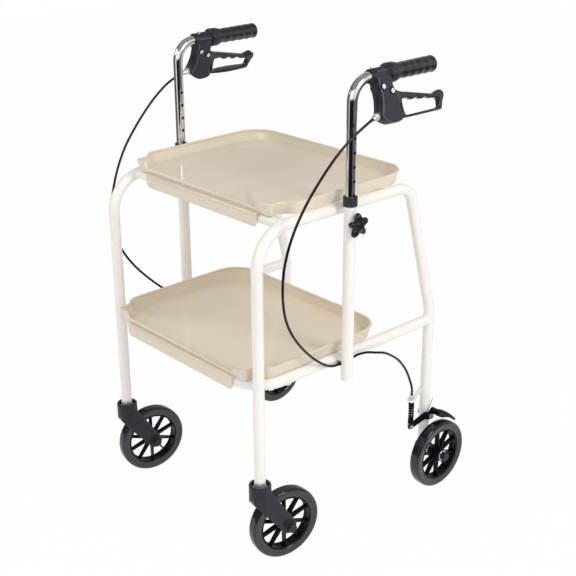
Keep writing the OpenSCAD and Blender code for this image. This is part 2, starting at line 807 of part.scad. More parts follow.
// Brake arm: a plate from the spring to the pivot, a bridge over the wheel and the shoe on it.
module brake_arm()
  color("dimgray")
    difference() {
      union() {
        side_view(arm_x0)
          linear_extrude(arm_plate) {
            link2d([spring_y, arm_end_z], arm_end_r, [rear_leg_y - 17, pivot_z + 7], 8);
            link2d([rear_leg_y - 17, pivot_z + 7], 8, [rear_leg_y, pivot_z], 8.5);
            link2d([rear_leg_y, pivot_z], 8.5, bridge, bridge_r);
          }
        side_view(arm_x0) linear_extrude(shoe_x0 + shoe_w - arm_x0) translate(bridge) circle(bridge_r);
        side_view(shoe_x0)
          linear_extrude(shoe_w) {
            link2d(bridge, bridge_r, [rear_leg_y + 24, wheel_r + 82], 5);
            difference() {
              intersection() {
                translate([rear_leg_y, wheel_r] + shoe_shift) circle(shoe_in_r + shoe_t);
                translate([rear_leg_y, wheel_r]) polygon([[0, 0], [98, 98], [24, 120]]);
              }
              translate([rear_leg_y, wheel_r]) circle(shoe_in_r);
            }
          }
      }
      along_x(arm_x0 - 1, rear_leg_y, pivot_z) cylinder(r = pin_r + fit, h = arm_plate + 2);
      along_x(arm_x0 - 1, spring_y, arm_end_z) cylinder(r = clamp_bolt_r + fit, h = arm_plate + 2);
      translate([brake_x, spring_y, arm_end_z]) cylinder(r = wire_r + fit, h = 2 * arm_end_r, $fn = 16);
    }

// Clamp bolt for the inner wire, and the bent wire end that stands up beside the leg.
module wire_anchor()
  color("silver") {
    along_x(arm_x0 - weld - clamp_head, spring_y, arm_end_z) {
      cylinder(r = clamp_head_r, h = clamp_head);
      cylinder(r = clamp_bolt_r, h = arm_plate + 2 * (clamp_head + weld));
    }
    along_x(arm_x0 + arm_plate + weld, spring_y, arm_end_z) cylinder(r = clamp_head_r, h = clamp_head);
    translate([arm_x0 - weld - tail_r, rear_leg_y - 7, pivot_z + 6])
      rotate([-29, 0, 0]) cylinder(r = tail_r, h = tail_len, $fn = 16);
  }

// Five-armed star knob with a low domed cap.
module height_knob()
  color("dimgray")
    difference() {
      union() {
        along_x(post_x + knob_in, post_y, stud_z) cylinder(r = 9, h = knob_hub + 1);
        along_x(post_x + knob_in + knob_hub, post_y, stud_z)
          linear_extrude(knob_t)
            for (k = [0:4])
              rotate(165 + 72 * k) link2d([0, 0], knob_core_r, [knob_r - knob_lobe_r, 0], knob_lobe_r);
        along_x(post_x + knob_in + knob_hub + knob_t, post_y, stud_z) cylinder(r1 = 9, r2 = 6, h = 2);
      }
      along_x(post_x + knob_in - 1, post_y, stud_z) cylinder(r = stud_r + fit, h = knob_t);
    }

module knob_stud()
  color("silver")
    along_x(post_x + handle_r + seat, post_y, stud_z)
      cylinder(r = stud_r, h = knob_in + knob_t - 2 - handle_r - seat);

// Wheels

// Wheel in its own frame: the axle runs along z and the middle plane is z = 0.
module hub() {
  difference() {
    union() {
      rotate_extrude()
        polygon([[rim_in_r, -rim_half], [rim_r, -rim_half], [rim_r, rim_half], [rim_in_r, rim_half],
          [rim_in_r + rim_waist, 0]]);
      translate([0, 0, -hub_half]) cylinder(r = hub_r, h = 2 * hub_half);
      for (k = [0:spokes - 1])
        rotate([0, 0, 360 * k / spokes])
          rotate([90, 0, 0])
            translate([0, 0, -spoke_t / 2])
              linear_extrude(spoke_t)
                polygon([[hub_r - 2, -spoke_hub], [rim_in_r + 2, -spoke_rim], [rim_in_r + 2, spoke_rim],
                  [hub_r - 2, spoke_hub]]);
    }
    cylinder(r = axle_r + fit, h = 4 * hub_half, center = true);
  }
}

// Tyre with round shoulders and a shallow step where it holds the rim.
module tyre() {
  half = tyre_w / 2;
  round_r = 7;
  rotate_extrude($fn = 96)
    union() {
      translate([rim_r, -half + round_r]) square([wheel_r - rim_r, tyre_w - 2 * round_r]);
      translate([rim_r, -half]) square([wheel_r - rim_r - round_r, tyre_w]);
      for (s = [-1, 1]) translate([wheel_r - round_r, s * (half - round_r)]) circle(round_r);
    }
}

// The casters' own frame: the stem runs along z through the origin and the wheel trails along +y.
module caster_place(s)
  translate([s * frame_x, front_leg_y, 0])
    rotate([0, 0, -swivel])
      children();

module fork_outline() link2d([0, arm_top_z], arm_top_r, [trail, wheel_r], arm_low_r);

// Round head, cut off below along the arms' outline.
module fork_head()
  intersection() {
    translate([0, 0, wheel_r]) cylinder(r = head_r, h = head_z - wheel_r);
    side_view(-2 * head_r)
      linear_extrude(4 * head_r) {
        fork_outline();
        translate([-2 * head_r, arm_top_z]) square([4 * head_r, head_z]);
      }
  }

module fork_arm(s)
  side_view(s > 0 ? arm_in : -arm_in - arm_t)
    linear_extrude(arm_t)
      intersection() {
        fork_outline();
        translate([-1, 0]) square(2 * head_z);
      }

module caster_fork(s)
  color("dimgray")
    caster_place(s)
      difference() {
        union() {
          fork_head();
          for (t = [-1, 1]) fork_arm(t);
          for (t = [0, 1])
            mirror([t, 0, 0])
              along_x(boss_in - eps, trail, wheel_r) cylinder(r = axle_boss_r, h = axle_boss);
        }
        translate([0, 0, head_z - head_recess]) cylinder(r = head_recess_r, h = head_recess + 1);
        translate([0, 0, wheel_r]) cylinder(r = pin_stem_r + fit, h = head_z);
        translate([0, 0, wheel_r])
          cylinder(r = stem_head_r + seat, h = stem_low_z + stem_head + seat - wheel_r);
        along_x(-arm_in, trail, wheel_r) cylinder(r = wheel_r + tyre_room, h = 2 * arm_in);
        along_x(-2 * boss_in, trail, wheel_r) cylinder(r = axle_r + fit, h = 4 * boss_in);
      }

module front_axle(s)
  color("dimgray")
    caster_place(s) {
      half = boss_in + axle_boss + weld;
      along_x(-half - front_cap_h / 2, trail, wheel_r) cylinder(r = axle_r, h = 2 * half + front_cap_h);
      for (t = [0, 1])
        mirror([t, 0, 0]) along_x(half, trail, wheel_r) axle_cap(front_cap_h);
    }

module front_hub(s) color("gray") caster_place(s) along_x(0, trail, wheel_r) hub();
module front_tyre(s) color("dimgray") caster_place(s) along_x(0, trail, wheel_r) tyre();
module rear_hub() color("gray") along_x(rear_wheel_x, rear_leg_y, wheel_r) hub();
module rear_tyre() color("dimgray") along_x(rear_wheel_x, rear_leg_y, wheel_r) tyre();

side_frame();  // side_frame_left
right() side_frame();  // side_frame_right
lower_rail();
front_cross_tube();
level_cross_tube(rear_cross_y, rail_z);  // rear_cross_tube
level_cross_tube(low_cross_y, low_rail_z);  // lower_cross_tube
handle_post();  // handle_post_left
right() handle_post();  // handle_post_right
post_stubs();
post_collars();
rear_axles();
axle_washers();
axle_caps();
brake_pivots();
cable_brackets();
cable_stops();
cable_guides();
caster_stems();
brake_cable();  // brake_cable_left
right() brake_cable();  // brake_cable_right
brake_spring();  // brake_spring_left
right() brake_spring();  // brake_spring_right
brake_wire();  // brake_wire_left
right() brake_wire();  // brake_wire_right
upper_tray();
lower_tray();
handle_tube();  // handle_tube_left
right() handle_tube();  // handle_tube_right
grip();  // grip_left
right() grip();  // grip_right
brake_housing();  // brake_housing_left
right() brake_housing();  // brake_housing_right
housing_pins();  // housing_pins_left
right() housing_pins();  // housing_pins_right
cable_adjuster();  // cable_adjuster_left
right() cable_adjuster();  // cable_adjuster_right
brake_lever();  // brake_lever_left
right() brake_lever();  // brake_lever_right
brake_arm();  // brake_arm_left
right() brake_arm();  // brake_arm_right
wire_anchor();  // wire_anchor_left
right() wire_anchor();  // wire_anchor_right
height_knob();  // height_knob_left
right() height_knob();  // height_knob_right
knob_stud();  // knob_stud_left
right() knob_stud();  // knob_stud_right
caster_fork(1);  // caster_fork_left
caster_fork(-1);  // caster_fork_right
front_axle(1);  // front_axle_left
front_axle(-1);  // front_axle_right
front_hub(1);  // front_hub_left
front_hub(-1);  // front_hub_right
front_tyre(1);  // front_tyre_left
front_tyre(-1);  // front_tyre_right
rear_hub();  // rear_hub_left
right() rear_hub();  // rear_hub_right
rear_tyre();  // rear_tyre_left
right() rear_tyre();  // rear_tyre_right
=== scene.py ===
import json
import math
import bmesh
import bpy
import numpy as np
from mathutils import Matrix


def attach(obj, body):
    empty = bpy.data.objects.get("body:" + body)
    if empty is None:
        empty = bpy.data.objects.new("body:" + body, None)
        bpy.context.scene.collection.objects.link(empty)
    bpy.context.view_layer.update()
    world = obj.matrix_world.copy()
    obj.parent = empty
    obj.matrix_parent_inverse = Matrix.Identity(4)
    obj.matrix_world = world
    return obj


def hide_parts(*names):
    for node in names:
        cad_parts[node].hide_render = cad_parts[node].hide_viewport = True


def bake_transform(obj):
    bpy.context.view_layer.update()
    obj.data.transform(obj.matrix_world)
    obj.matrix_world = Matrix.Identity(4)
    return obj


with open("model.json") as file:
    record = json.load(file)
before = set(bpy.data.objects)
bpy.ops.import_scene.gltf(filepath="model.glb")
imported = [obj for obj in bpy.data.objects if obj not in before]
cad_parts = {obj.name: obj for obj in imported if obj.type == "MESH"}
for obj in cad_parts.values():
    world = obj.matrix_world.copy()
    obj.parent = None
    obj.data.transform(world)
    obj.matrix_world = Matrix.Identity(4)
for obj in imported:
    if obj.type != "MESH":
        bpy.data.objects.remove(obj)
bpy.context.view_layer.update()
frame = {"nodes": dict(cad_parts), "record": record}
nodes = frame["nodes"]
sides = {"left": 1.0, "right": -1.0}
print("frame loaded:", len(nodes), "nodes")

# camera, fitted to the photograph: place in metres, angles in degrees
photoCamera = {
    "place": (1.6023, -1.4474, 1.3429), "turn": 49.4, "drop": 22.9, "roll": -0.9,
    "lens": 70.08, "sensor": 36.0, "shift": (0.0556, 0.0080)}


def makeCamera(view):
    # looks along the turn and the drop, and rolls about that line
    a, e, r = (math.radians(view[k]) for k in ("turn", "drop", "roll"))
    right = np.array([math.cos(a), math.sin(a), 0.0])
    ahead = np.array([-math.sin(a) * math.cos(e), math.cos(a) * math.cos(e), -math.sin(e)])
    up = np.cross(right, ahead)
    across = math.cos(r) * right + math.sin(r) * up
    upright = -math.sin(r) * right + math.cos(r) * up
    data = bpy.data.cameras.new("photo_camera")
    data.lens, data.sensor_width = view["lens"], view["sensor"]
    data.shift_x, data.shift_y = view["shift"]
    camera = bpy.data.objects.new("photo_camera", data)
    place = np.eye(4)
    place[:3, 0], place[:3, 1], place[:3, 2], place[:3, 3] = across, upright, -ahead, view["place"]
    camera.matrix_world = Matrix(place.tolist())
    bpy.context.scene.collection.objects.link(camera)
    bpy.context.scene.camera = camera


makeCamera(photoCamera)

# mesh helpers: every new piece is a grid of points worked out as whole arrays
meshing = {
    "sharpAngle": 38.0,  # degrees between two faces past which their edge is drawn sharp
    "faceInset": 1.35,  # where a plate's flat face starts, in radii of its rounded edge
    "rubbedReach": 1.6}  # rows from the middle of a rounded edge to where its painted sheen ends


def unitRows(v):
    # each row over its own length
    return v / np.linalg.norm(v, axis=-1, keepdims=True)


def roundAngles(count):
    # equal steps round a full turn
    return np.linspace(0, 2 * np.pi, count, endpoint=False)


def mirrored(points, sign):
    # the left side's points, or their mirror image on the right side
    return points * np.array([sign, 1.0, 1.0])


def onCircle(a):
    # points of the unit circle at these angles
    return np.stack([np.cos(a), np.sin(a)], -1)


def ringStack(rows, a):
    # level rings about the upright axis: a radius and a height for each, single or one for each angle
    rings = [np.stack([r * np.cos(a), r * np.sin(a), np.broadcast_to(z, a.shape)], -1) for r, z in rows]
    return np.stack(rings)


def cubicBetween(a, b, c, d, steps):
    # Catmull-Rom: the cubic from b to c, with tangents from the neighbours a and d
    t = (np.arange(steps) / steps)[None, :, None]
    square = (2 * a - 5 * b + 4 * c - d) * t ** 2
    cube = (3 * b - a - 3 * c + d) * t ** 3
    return 0.5 * (2 * b + (c - a) * t + square + cube)


def smoothPath(points, steps):
    # a smooth curve through the points, from the first to the last
    p = np.asarray(points, float)
    ends = np.vstack([p[:1], p, p[-1:]])
    mid = cubicBetween(*(ends[i:len(p) - 1 + i, None, :] for i in range(4)), steps)
    return np.vstack([mid.reshape(-1, p.shape[1]), p[-1:]])


def closedSmooth(points, steps):
    # a smooth curve round a closed loop of points
    p = np.asarray(points, float)
    loop = cubicBetween(*(np.roll(p, 1 - i, axis=0)[:, None, :] for i in range(4)), steps)
    return loop.reshape(-1, p.shape[1])


def gridFaces(rows, cols, closeRows=False, closeCols=False):
    # quads between neighbouring grid points, wrapped round where a direction is closed
    i, j = np.meshgrid(np.arange(rows if closeRows else rows - 1),
                       np.arange(cols if closeCols else cols - 1), indexing="ij")
    i2, j2 = (i + 1) % rows, (j + 1) % cols
    return np.stack([i * cols + j, i2 * cols + j, i2 * cols + j2, i * cols + j2], -1).reshape(-1, 4)


def addMesh(name, points, faces, material, caps=(), soft=True, rubbed=None):
    # one mesh from points, quads and lists of points for the end caps, with its faces turned outwards
    pts = np.asarray(points, float).reshape(-1, 3)
    polys = [list(map(int, f)) for f in faces] + [list(map(int, c)) for c in caps]
    mesh = bpy.data.meshes.new(name)
    mesh.from_pydata(pts.tolist(), [], polys)
    work = bmesh.new()
    work.from_mesh(mesh)
    bmesh.ops.recalc_face_normals(work, faces=work.faces)
    work.to_mesh(mesh)
    work.free()
    mesh.polygons.foreach_set("use_smooth", np.full(len(polys), soft))
    if soft:
        mesh.set_sharp_from_angle(angle=math.radians(meshing["sharpAngle"]))
    # each point's share of painted sheen, which dark mouldings show as a painted highlight
    if rubbed is not None:
        sheen = mesh.attributes.new("rubbed", "FLOAT", "POINT")
        sheen.data.foreach_set("value", np.asarray(rubbed, np.float32))
    mesh.materials.append(material)
    piece = bpy.data.objects.new(name, mesh)
    bpy.context.scene.collection.objects.link(piece)
    return piece


def ringsAbout(centres, radius, u, v, count):
    # circles about the centres, each in the plane of its unit vectors u and v
    a = roundAngles(count)
    c, s = np.cos(a)[None, :, None], np.sin(a)[None, :, None]
    return centres[:, None] + radius * (c * u[:, None] + s * v[:, None])


def tubeRings(path, radius, count):
    # a circle carried along the path: each next ring keeps the last one's direction as nearly as it can
    p = np.asarray(path, float)
    t = unitRows(np.gradient(p, axis=0))
    u = np.empty_like(p)
    start = np.cross(t[0], [1.0, 0.0, 0.0])
    u[0] = start / np.linalg.norm(start)
    for k in range(1, len(p)):
        w = u[k - 1] - t[k] * (u[k - 1] @ t[k])
        u[k] = w / np.linalg.norm(w)
    return ringsAbout(p, radius, u, np.cross(t, u), count)


def addTube(name, path, radius, count, material):
    # a tube along the path with a cap at each end
    rings = tubeRings(path, radius, count)
    rows = len(rings)
    caps = [range(count), range(rows * count - 1, (rows - 1) * count - 1, -1)]
    return addMesh(name, rings, gridFaces(rows, count, False, True), material, caps)


def inwards(loop):
    # unit normals of a closed plane loop, pointing to its inside
    t = unitRows(np.roll(loop, -1, axis=0) - np.roll(loop, 1, axis=0))
    area = np.sum(loop[:, 0] * np.roll(loop[:, 1], -1) - np.roll(loop[:, 0], -1) * loop[:, 1])
    return np.stack([-t[:, 1], t[:, 0]], -1) * np.sign(area)


def slabRings(loop, low, high, edge, steps=4, soft=None):
    # a plate between two heights: the outline, drawn in and rounded over at both faces where soft is 1
    a = np.linspace(0, np.pi / 2, steps + 1)
    ways = inwards(loop) * (1.0 if soft is None else np.asarray(soft, float)[:, None])
    face = [meshing["faceInset"] * edge]
    inset = np.concatenate([face, edge * (1 - np.sin(a)), edge * (1 - np.cos(a)), face])
    height = np.concatenate([[low], low + edge * (1 - np.cos(a)), high - edge * (1 - np.sin(a)), [high]])
    flat = loop[None] + inset[:, None, None] * ways[None]
    return np.concatenate([flat, np.broadcast_to(height[:, None, None], flat.shape[:2] + (1,))], -1)


def rubbedRows(rings):
    # painted sheen for a plate's rows: 1 in the middle of each rounded edge and 0 on its faces and its side
    n = len(rings)
    k = np.arange(n)
    middle = (n / 2 - 1) / 2
    near = np.minimum(np.abs(k - middle), np.abs(k - (n - 1 - middle)))
    return np.clip(1 - near / meshing["rubbedReach"], 0, 1)


class Shape:
    # gathers several grids into one piece
    def __init__(self):
        self.points, self.faces, self.rubbed, self.count = [], [], [], 0

    def grid(self, points, closeRows=False, closeCols=False, capFirst=False, capLast=False, rubbed=0.0):
        # the last value tells how much painted sheen, a painted highlight, each row gets, from 0 to 1
        rows, cols = points.shape[:2]
        polys = [list(f) for f in gridFaces(rows, cols, closeRows, closeCols)]
        if capFirst:
            polys.append(list(range(cols))[::-1])
        if capLast:
            polys.append(list(range((rows - 1) * cols, rows * cols)))
        self.points.append(points.reshape(-1, 3))
        self.rubbed.append(np.repeat(np.broadcast_to(np.asarray(rubbed, float), (rows,)), cols))
        self.faces += [[int(i) + self.count for i in p] for p in polys]
        self.count += rows * cols

    def solid(self, points, rubbed=0.0):
        # rings one after another, capped at both ends
        self.grid(points, closeCols=True, capFirst=True, capLast=True, rubbed=rubbed)

    def hoop(self, points, rubbed=0.0):
        # rings one after another, and the last joined to the first
        self.grid(points, closeRows=True, closeCols=True, rubbed=rubbed)

    def piece(self, name, material, sign=1.0):
        pts = mirrored(np.concatenate(self.points), sign) / 1000
        return addMesh(name, pts, self.faces, material, rubbed=np.concatenate(self.rubbed))


def turned(profile, count):
    # a profile of (radius, height) turned about the height axis
    return ringStack(profile, roundAngles(count))


def linkLoop(p, pRadius, q, qRadius, steps=20):
    # outline of two circles and their outer tangents, as one loop
    p, q = np.array(p, float), np.array(q, float)
    gap = q - p
    lean = math.atan2(gap[1], gap[0])
    spread = math.acos((pRadius - qRadius) / np.linalg.norm(gap))
    first = lean + np.linspace(spread, 2 * np.pi - spread, steps)
    second = lean + np.linspace(-spread, spread, steps)
    return np.concatenate([p + pRadius * onCircle(first), q + qRadius * onCircle(second)])


def acrossX(points):
    # from (side view y, side view z, x) to (x, y, z)
    return points[..., [2, 0, 1]]


def spunX(profile, count, at):
    # a profile of (radius, x) turned about a line along x through (y, z)
    spun = turned(profile, count)
    return np.stack([spun[..., 2], spun[..., 0] + at[0], spun[..., 1] + at[1]], -1)


def fit(shape, name, finish, body, node, sign=1.0):
    # the shape as a piece that rides a body, and stands for a node where one is given
    piece = shape.piece(name, finishes[finish], sign)
    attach(piece, body)
    if node:
        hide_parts(node)


def fitPair(shape, name, finish, body, node):
    # the left side's shape and its mirror image, each on the body of its own side
    for side, sign in sides.items():
        end = "_" + side
        fit(shape, name + end, finish, body + end, node and node + end, sign)


# shader helper: wraps one output socket, and sums on it add Math nodes
class Shade:
    def __init__(self, tree, out):
        self.tree, self.out = tree, out

    def node(self, kind, inputs=None, out=0, **settings):
        made = self.tree.nodes.new("ShaderNode" + kind)
        for key, value in settings.items():
            setattr(made, key, value)
        for key, value in (inputs or {}).items():
            self.feed(made.inputs[key], value)
        return Shade(self.tree, made.outputs[out])

    def feed(self, socket, value):
        if isinstance(value, Shade):
            self.tree.links.new(value.out, socket)
        else:
            socket.default_value = value

    def math(self, operation, first, second):
        return self.node("Math", {0: first, 1: second}, operation=operation)

    def __add__(self, other):
        return self.math("ADD", self, other)

    def __mul__(self, other):
        return self.math("MULTIPLY", self, other)

    __radd__ = __add__
    __rmul__ = __mul__

    def noise(self, scale, detail=2.0):
        return self.node("TexNoise", {"Vector": self, "Scale": scale, "Detail": detail})

    def mix(self, first, second):
        # colour mix with this value as the factor
        return self.node("Mix", {0: self, 6: first, 7: second}, out=2, data_type="RGBA")

    def bump(self, strength, distance):
        return self.node("Bump", {"Height": self, "Strength": strength, "Distance": distance})


def shade255(r, g, b):
    # a screen colour as the linear values that a shader takes
    c = np.array([r, g, b]) / 255
    flat = np.where(c <= 0.04045, c / 12.92, ((c + 0.055) / 1.055) ** 2.4)
    return (*[float(x) for x in flat], 1.0)


def newSurface(name):
    # a new material, its shader node and that node's output
    material = bpy.data.materials.new(name)
    material.use_nodes = True
    shader = material.node_tree.nodes["Principled BSDF"]
    return material, shader, Shade(material.node_tree, shader.outputs[0])


def makeFinish(name, recipe):
    # a material whose sockets take what the recipe works out from Object coordinates
    material, shader, start = newSurface(name)
    for key, value in recipe(start.node("TexCoord", out="Object")).items():
        start.feed(shader.inputs[key], value)
    return material


def ivoryPaint(at):
    # powder coat: fine orange peel, faint cloudiness, slightly uneven gloss
    cloud = at.noise(14.0, 3.0)
    peel = at.noise(650.0, 1.0)
    return {"Base Color": cloud.mix(shade255(244, 240, 234), shade255(249, 246, 241)),
            "Roughness": cloud * 0.12 + 0.28, "Normal": peel.bump(0.06, 0.0006),
            "Coat Weight": 0.2, "Coat Roughness": 0.15}


def beigeTray(at):
    # glossy moulded sheet with a fine grain and a few dull patches
    cloud = at.noise(7.0, 3.0)
    grain = at.noise(900.0, 2.0)
    return {"Base Color": cloud.mix(shade255(226, 213, 192), shade255(230, 218, 198)),
            "Roughness": cloud * 0.06 + 0.05, "Normal": grain.bump(0.02, 0.0005),
            "Specular IOR Level": 0.45}


def chromePlate(at):
    # mirror-bright plating with faint smears
    smear = at.noise(45.0, 4.0)
    return {"Base Color": smear.mix(shade255(205, 206, 210), shade255(228, 228, 231)), "Metallic": 1.0,
            "Roughness": smear * 0.08 + 0.04}


def zincSteel(at):
    # mottled, half dull plating
    smear = at.noise(260.0, 4.0)
    return {"Base Color": smear.mix(shade255(202, 203, 206), shade255(232, 232, 233)), "Metallic": 0.75,
            "Roughness": smear * 0.2 + 0.3, "Normal": smear.bump(0.08, 0.0003)}


greyedBy, rubbedBy = (8, 8, 8), (88, 86, 100)  # how much brighter greyed plastic is, and plastic under painted sheen, out of 255


def darkMoulding(tone, gloss, grainSize, depth, shine, bright=0.0):
    # textured black plastic: grain that the gloss follows, slight greying, and edges lightened by painted
    # sheen, a painted highlight
    greyed, sheen = (shade255(*np.add(tone, lift)) for lift in (greyedBy, rubbedBy))

    def recipe(at):
        cloud = at.noise(30.0, 3.0)
        grain = at.noise(grainSize, 2.0)
        # painted highlight: the mesh's painted sheen share, scaled by bright
        edge = at.node("Attribute", attribute_name="rubbed", out="Fac") * bright
        return {"Base Color": edge.mix(cloud.mix(shade255(*tone), greyed), sheen), "Specular IOR Level": shine,
                "Roughness": grain * 0.2 + gloss, "Normal": grain.bump(depth, 0.0006)}
    return recipe


# tone, gloss, grain size, grain depth, shine, and how strongly painted sheen brightens edges
mouldings = {
    "black_plastic": ((37, 35, 44), 0.26, 1500.0, 0.10, 0.3, 0.65),
    "knob_plastic": ((22, 21, 26), 0.10, 800.0, 0.03, 0.5),
    "wheel_plastic": ((8, 8, 11), 0.30, 1300.0, 0.10, 0.12),
    "grip_rubber": ((25, 25, 30), 0.14, 1800.0, 0.08, 0.5),
    "tyre_rubber": ((16, 15, 21), 0.03, 1100.0, 0.03, 0.55, 1.0),
    "cable_casing": ((14, 14, 16), 0.16, 900.0, 0.04, 0.3),
    "black_steel": ((6, 6, 8), 0.20, 1200.0, 0.06, 0.14)}
recipes = {
    "ivory_paint": ivoryPaint, "beige_plastic": beigeTray, "chromed_tube": chromePlate,
    "silver_steel": zincSteel, **{name: darkMoulding(*values) for name, values in mouldings.items()}}
finishes = {name: makeFinish(name, recipe) for name, recipe in recipes.items()}
for part in frame["record"]["subparts"]:
    mesh = nodes[part["node"]].data
    mesh.materials.clear()
    mesh.materials.append(finishes[part["material_slot"]])
print("finishes made:", len(finishes))

# brake cables, in millimetres on the left side: the points follow the solids' route, with a smoother start
cable = {
    "post": 250.5, "gripHeight": 924.0, "roll": 18.5, "adjuster": (-15.0, -69.0), "tilt": 16.0,
    "reach": 19.0, "cup": 7.0, "guide": (235.0, -61.0, 373.2), "stop": (236.5, 148.0, 229.0),
    "diameter": 5.0, "steps": 8, "around": 14,
    "fromBrake": [(2, -30, -11.5), (1, -54, -25), (-1, -86, -49), (-3, -122, -84), (-5, -157, -126),
                  (-8, -183, -172), (-10, -200, -222)],
    "byGuide": [(29, -178, 212), (26, -172, 167), (21, -157, 130), (16, -134, 95), (10, -105, 62),
                (5, -72, 31), (1.5, -40, 8), (0, -20, 0.4), (0, -8, 0), (0, 8, 0), (0, 20, 0.4), (2, 46, 4),
                (6, 66, 3), (10, 84, -2), (11, 110, -11)],
    "toStop": [(4, -66, 112), (2, -43, 92), (1, -22, 64), (0, -7, 34), (0, -0.8, 16), (0, 0, 5), (0, 0, 0),
               (0, 0, -7.5)]}


def placeBrake(points):
    # from the hand brake's own axes, (across, along the grip, up), to the walker's, after the outward roll
    a = math.radians(cable["roll"])
    n, y, z = points[..., 0], points[..., 1], points[..., 2]
    return np.stack([cable["post"] + n * math.cos(a) - z * math.sin(a), y,
                     cable["gripHeight"] + n * math.sin(a) + z * math.cos(a)], -1)


def alongAdjuster(distance):
    # a point on the adjuster's axis, which leaves the housing forwards and down
    a = math.radians(cable["tilt"])
    y, z = cable["adjuster"]
    return placeBrake(np.array([0.0, y - distance * math.cos(a), z - distance * math.sin(a)]))


def cableRoute():
    # out of the adjuster's cup, then through points counted from its tip, the guide and the stop
    tip, back = alongAdjuster(cable["reach"]), alongAdjuster(cable["reach"] - cable["cup"])
    stretches = [(tip, "fromBrake"), (cable["guide"], "byGuide"), (cable["stop"], "toStop")]
    points = [[back, tip, 2 * tip - back]] + [np.add(start, cable[name]) for start, name in stretches]
    return smoothPath(np.concatenate(points), cable["steps"]) / 1000


for side, sign in sides.items():
    route = mirrored(cableRoute(), sign)
    guide = mirrored(np.array(cable["guide"]), sign) / 1000
    piece = addTube("cable_" + side, route, cable["diameter"] / 2000, cable["around"],
                    finishes["cable_casing"])
    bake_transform(piece)
    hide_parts("brake_cable_" + side)

# cable adjusters: a knurled barrel screwed into the housing, and the cup that holds the casing
adjuster = {
    "around": 108, "knurls": 18, "knurlDepth": 0.035, "knurledOver": 6.0,
    # distance along the axis, radius
    "profile": [(-6, 3.4), (2.6, 3.4), (2.8, 5.4), (3.4, 6.2), (4.4, 6.6), (10.2, 6.6), (11.2, 6.2),
                (11.8, 5.2), (12.2, 4.6), (18.2, 4.6), (18.8, 4.3), (19.0, 3.7), (19.0, 2.6), (17.0, 2.6)]}


def adjusterRings():
    # the barrel's radius swells and sinks round it, by a share of it that is the knurl's depth
    around = roundAngles(adjuster["around"])
    axis = alongAdjuster(1.0) - alongAdjuster(0.0)
    roll = math.radians(cable["roll"])
    across = np.array([math.cos(roll), 0.0, math.sin(roll)])
    ring = np.outer(np.cos(around), across) + np.outer(np.sin(around), np.cross(axis, across))
    knurl = 1 + adjuster["knurlDepth"] * np.cos(adjuster["knurls"] * around)
    rows = []
    for distance, radius in adjuster["profile"]:
        swell = knurl if radius > adjuster["knurledOver"] else np.ones_like(knurl)
        rows.append(alongAdjuster(distance) + ring * (radius * swell)[:, None])
    return np.stack(rows)


shape = Shape()
shape.grid(adjusterRings(), closeCols=True, capFirst=True)
fitPair(shape, "adjuster_barrel", "silver_steel", "handle", "cable_adjuster")
print("cable adjusters made")

# brake springs and inner wires: they stretch between the brake arm's end and the bracket
spring = {
    "x": 236.5, "y": 148.0, "low": 159.8, "high": 213.7, "outside": 12.5, "wire": 3.5, "turns": 11.0,
    "ease": 0.35, "startAngle": 180.0, "perTurn": 28, "around": 10,
    "innerWire": 0.9, "wireLow": 158.5, "wireHigh": 220.0, "wireSteps": 12}


def springRoute():
    # a helix with a rise that eases in and out, so that the end turns lie flatter
    t = np.linspace(0, 1, int(spring["turns"] * spring["perTurn"]) + 1)
    eased = t - spring["ease"] * np.sin(2 * np.pi * t) / (2 * np.pi)
    coil = (spring["outside"] - spring["wire"]) / 2
    low, high = spring["low"] + spring["wire"] / 2, spring["high"] - spring["wire"] / 2
    a = math.radians(spring["startAngle"]) + 2 * np.pi * spring["turns"] * t
    return np.stack([spring["x"] + coil * np.cos(a), spring["y"] + coil * np.sin(a),
                     low + (high - low) * eased], -1)


def springAxis(heights):
    # points on the spring's axis at these heights
    return np.stack([np.full(len(heights), spring["x"]), np.full(len(heights), spring["y"]), heights], -1)


wireHeights = np.linspace(spring["wireLow"], spring["wireHigh"], spring["wireSteps"])
stretched = [("spring_", "brake_spring_", "black_steel", springRoute(), spring["wire"] / 2),
             ("inner_wire_", "brake_wire_", "silver_steel", springAxis(wireHeights), spring["innerWire"])]
for side, sign in sides.items():
    foot, head = mirrored(springAxis([spring["low"], spring["high"]]), sign) / 1000
    for name, node, finish, path, radius in stretched:
        piece = addTube(name + side, mirrored(path, sign) / 1000, radius / 1000, spring["around"],
                        finishes[finish])
        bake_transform(piece)
        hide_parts(node + side)
print("springs and inner wires made")

# trays: a rim section carried round the plan, a flat deck inside it, and an apron that hooks over a tube
tray = {
    "halfWidth": 225.0, "front": -14.5, "length": 348.5, "rim": 25.0, "lip": 13.0, "corner": 60.0,
    "turn": 30.0, "notch": 24.0, "lobe": 12.0, "lobeIn": 4.4, "flare": 10.0, "rimStop": 172.0,
    "rimFall": 8.0, "fallSteps": 9, "deckIn": 3.0, "arcSteps": (30, 16, 16, 14), "sectionSteps": 4,
    "apronHalf": 166.0, "apronDrop": 26.0, "apronCorner": 9.0, "hook": 11.3, "bendSteps": 12,
    "seats": {"upper_tray": (-200.0, 695.3), "lower_tray": (-265.0, 390.3)},
    # out from the top edge, height, and 1 where the height counts from the rim's top
    "section": [(-11, 0, 0), (-9, 0, 0), (-7, 0.8, 0), (-6, 3, 0), (-0.5, -4, 1), (0, -2, 1),
                (-0.8, -0.6, 1), (-2.2, 0, 1), (-4, 0, 1), (-5.4, -0.8, 1), (-5.6, -2.4, 1), (-4.6, -5, 1),
                (-8.6, 6, 0), (-9.6, 4, 0), (-11.4, 3, 0)]}


def planArc(centre, radius, way, start, end, steps):
    # stations on an arc, with angles in degrees: place in plan and the way out of the tray there
    out = onCircle(np.radians(np.linspace(start, end, steps + 1)))
    return np.concatenate([np.asarray(centre) + radius * out, way * out], 1)


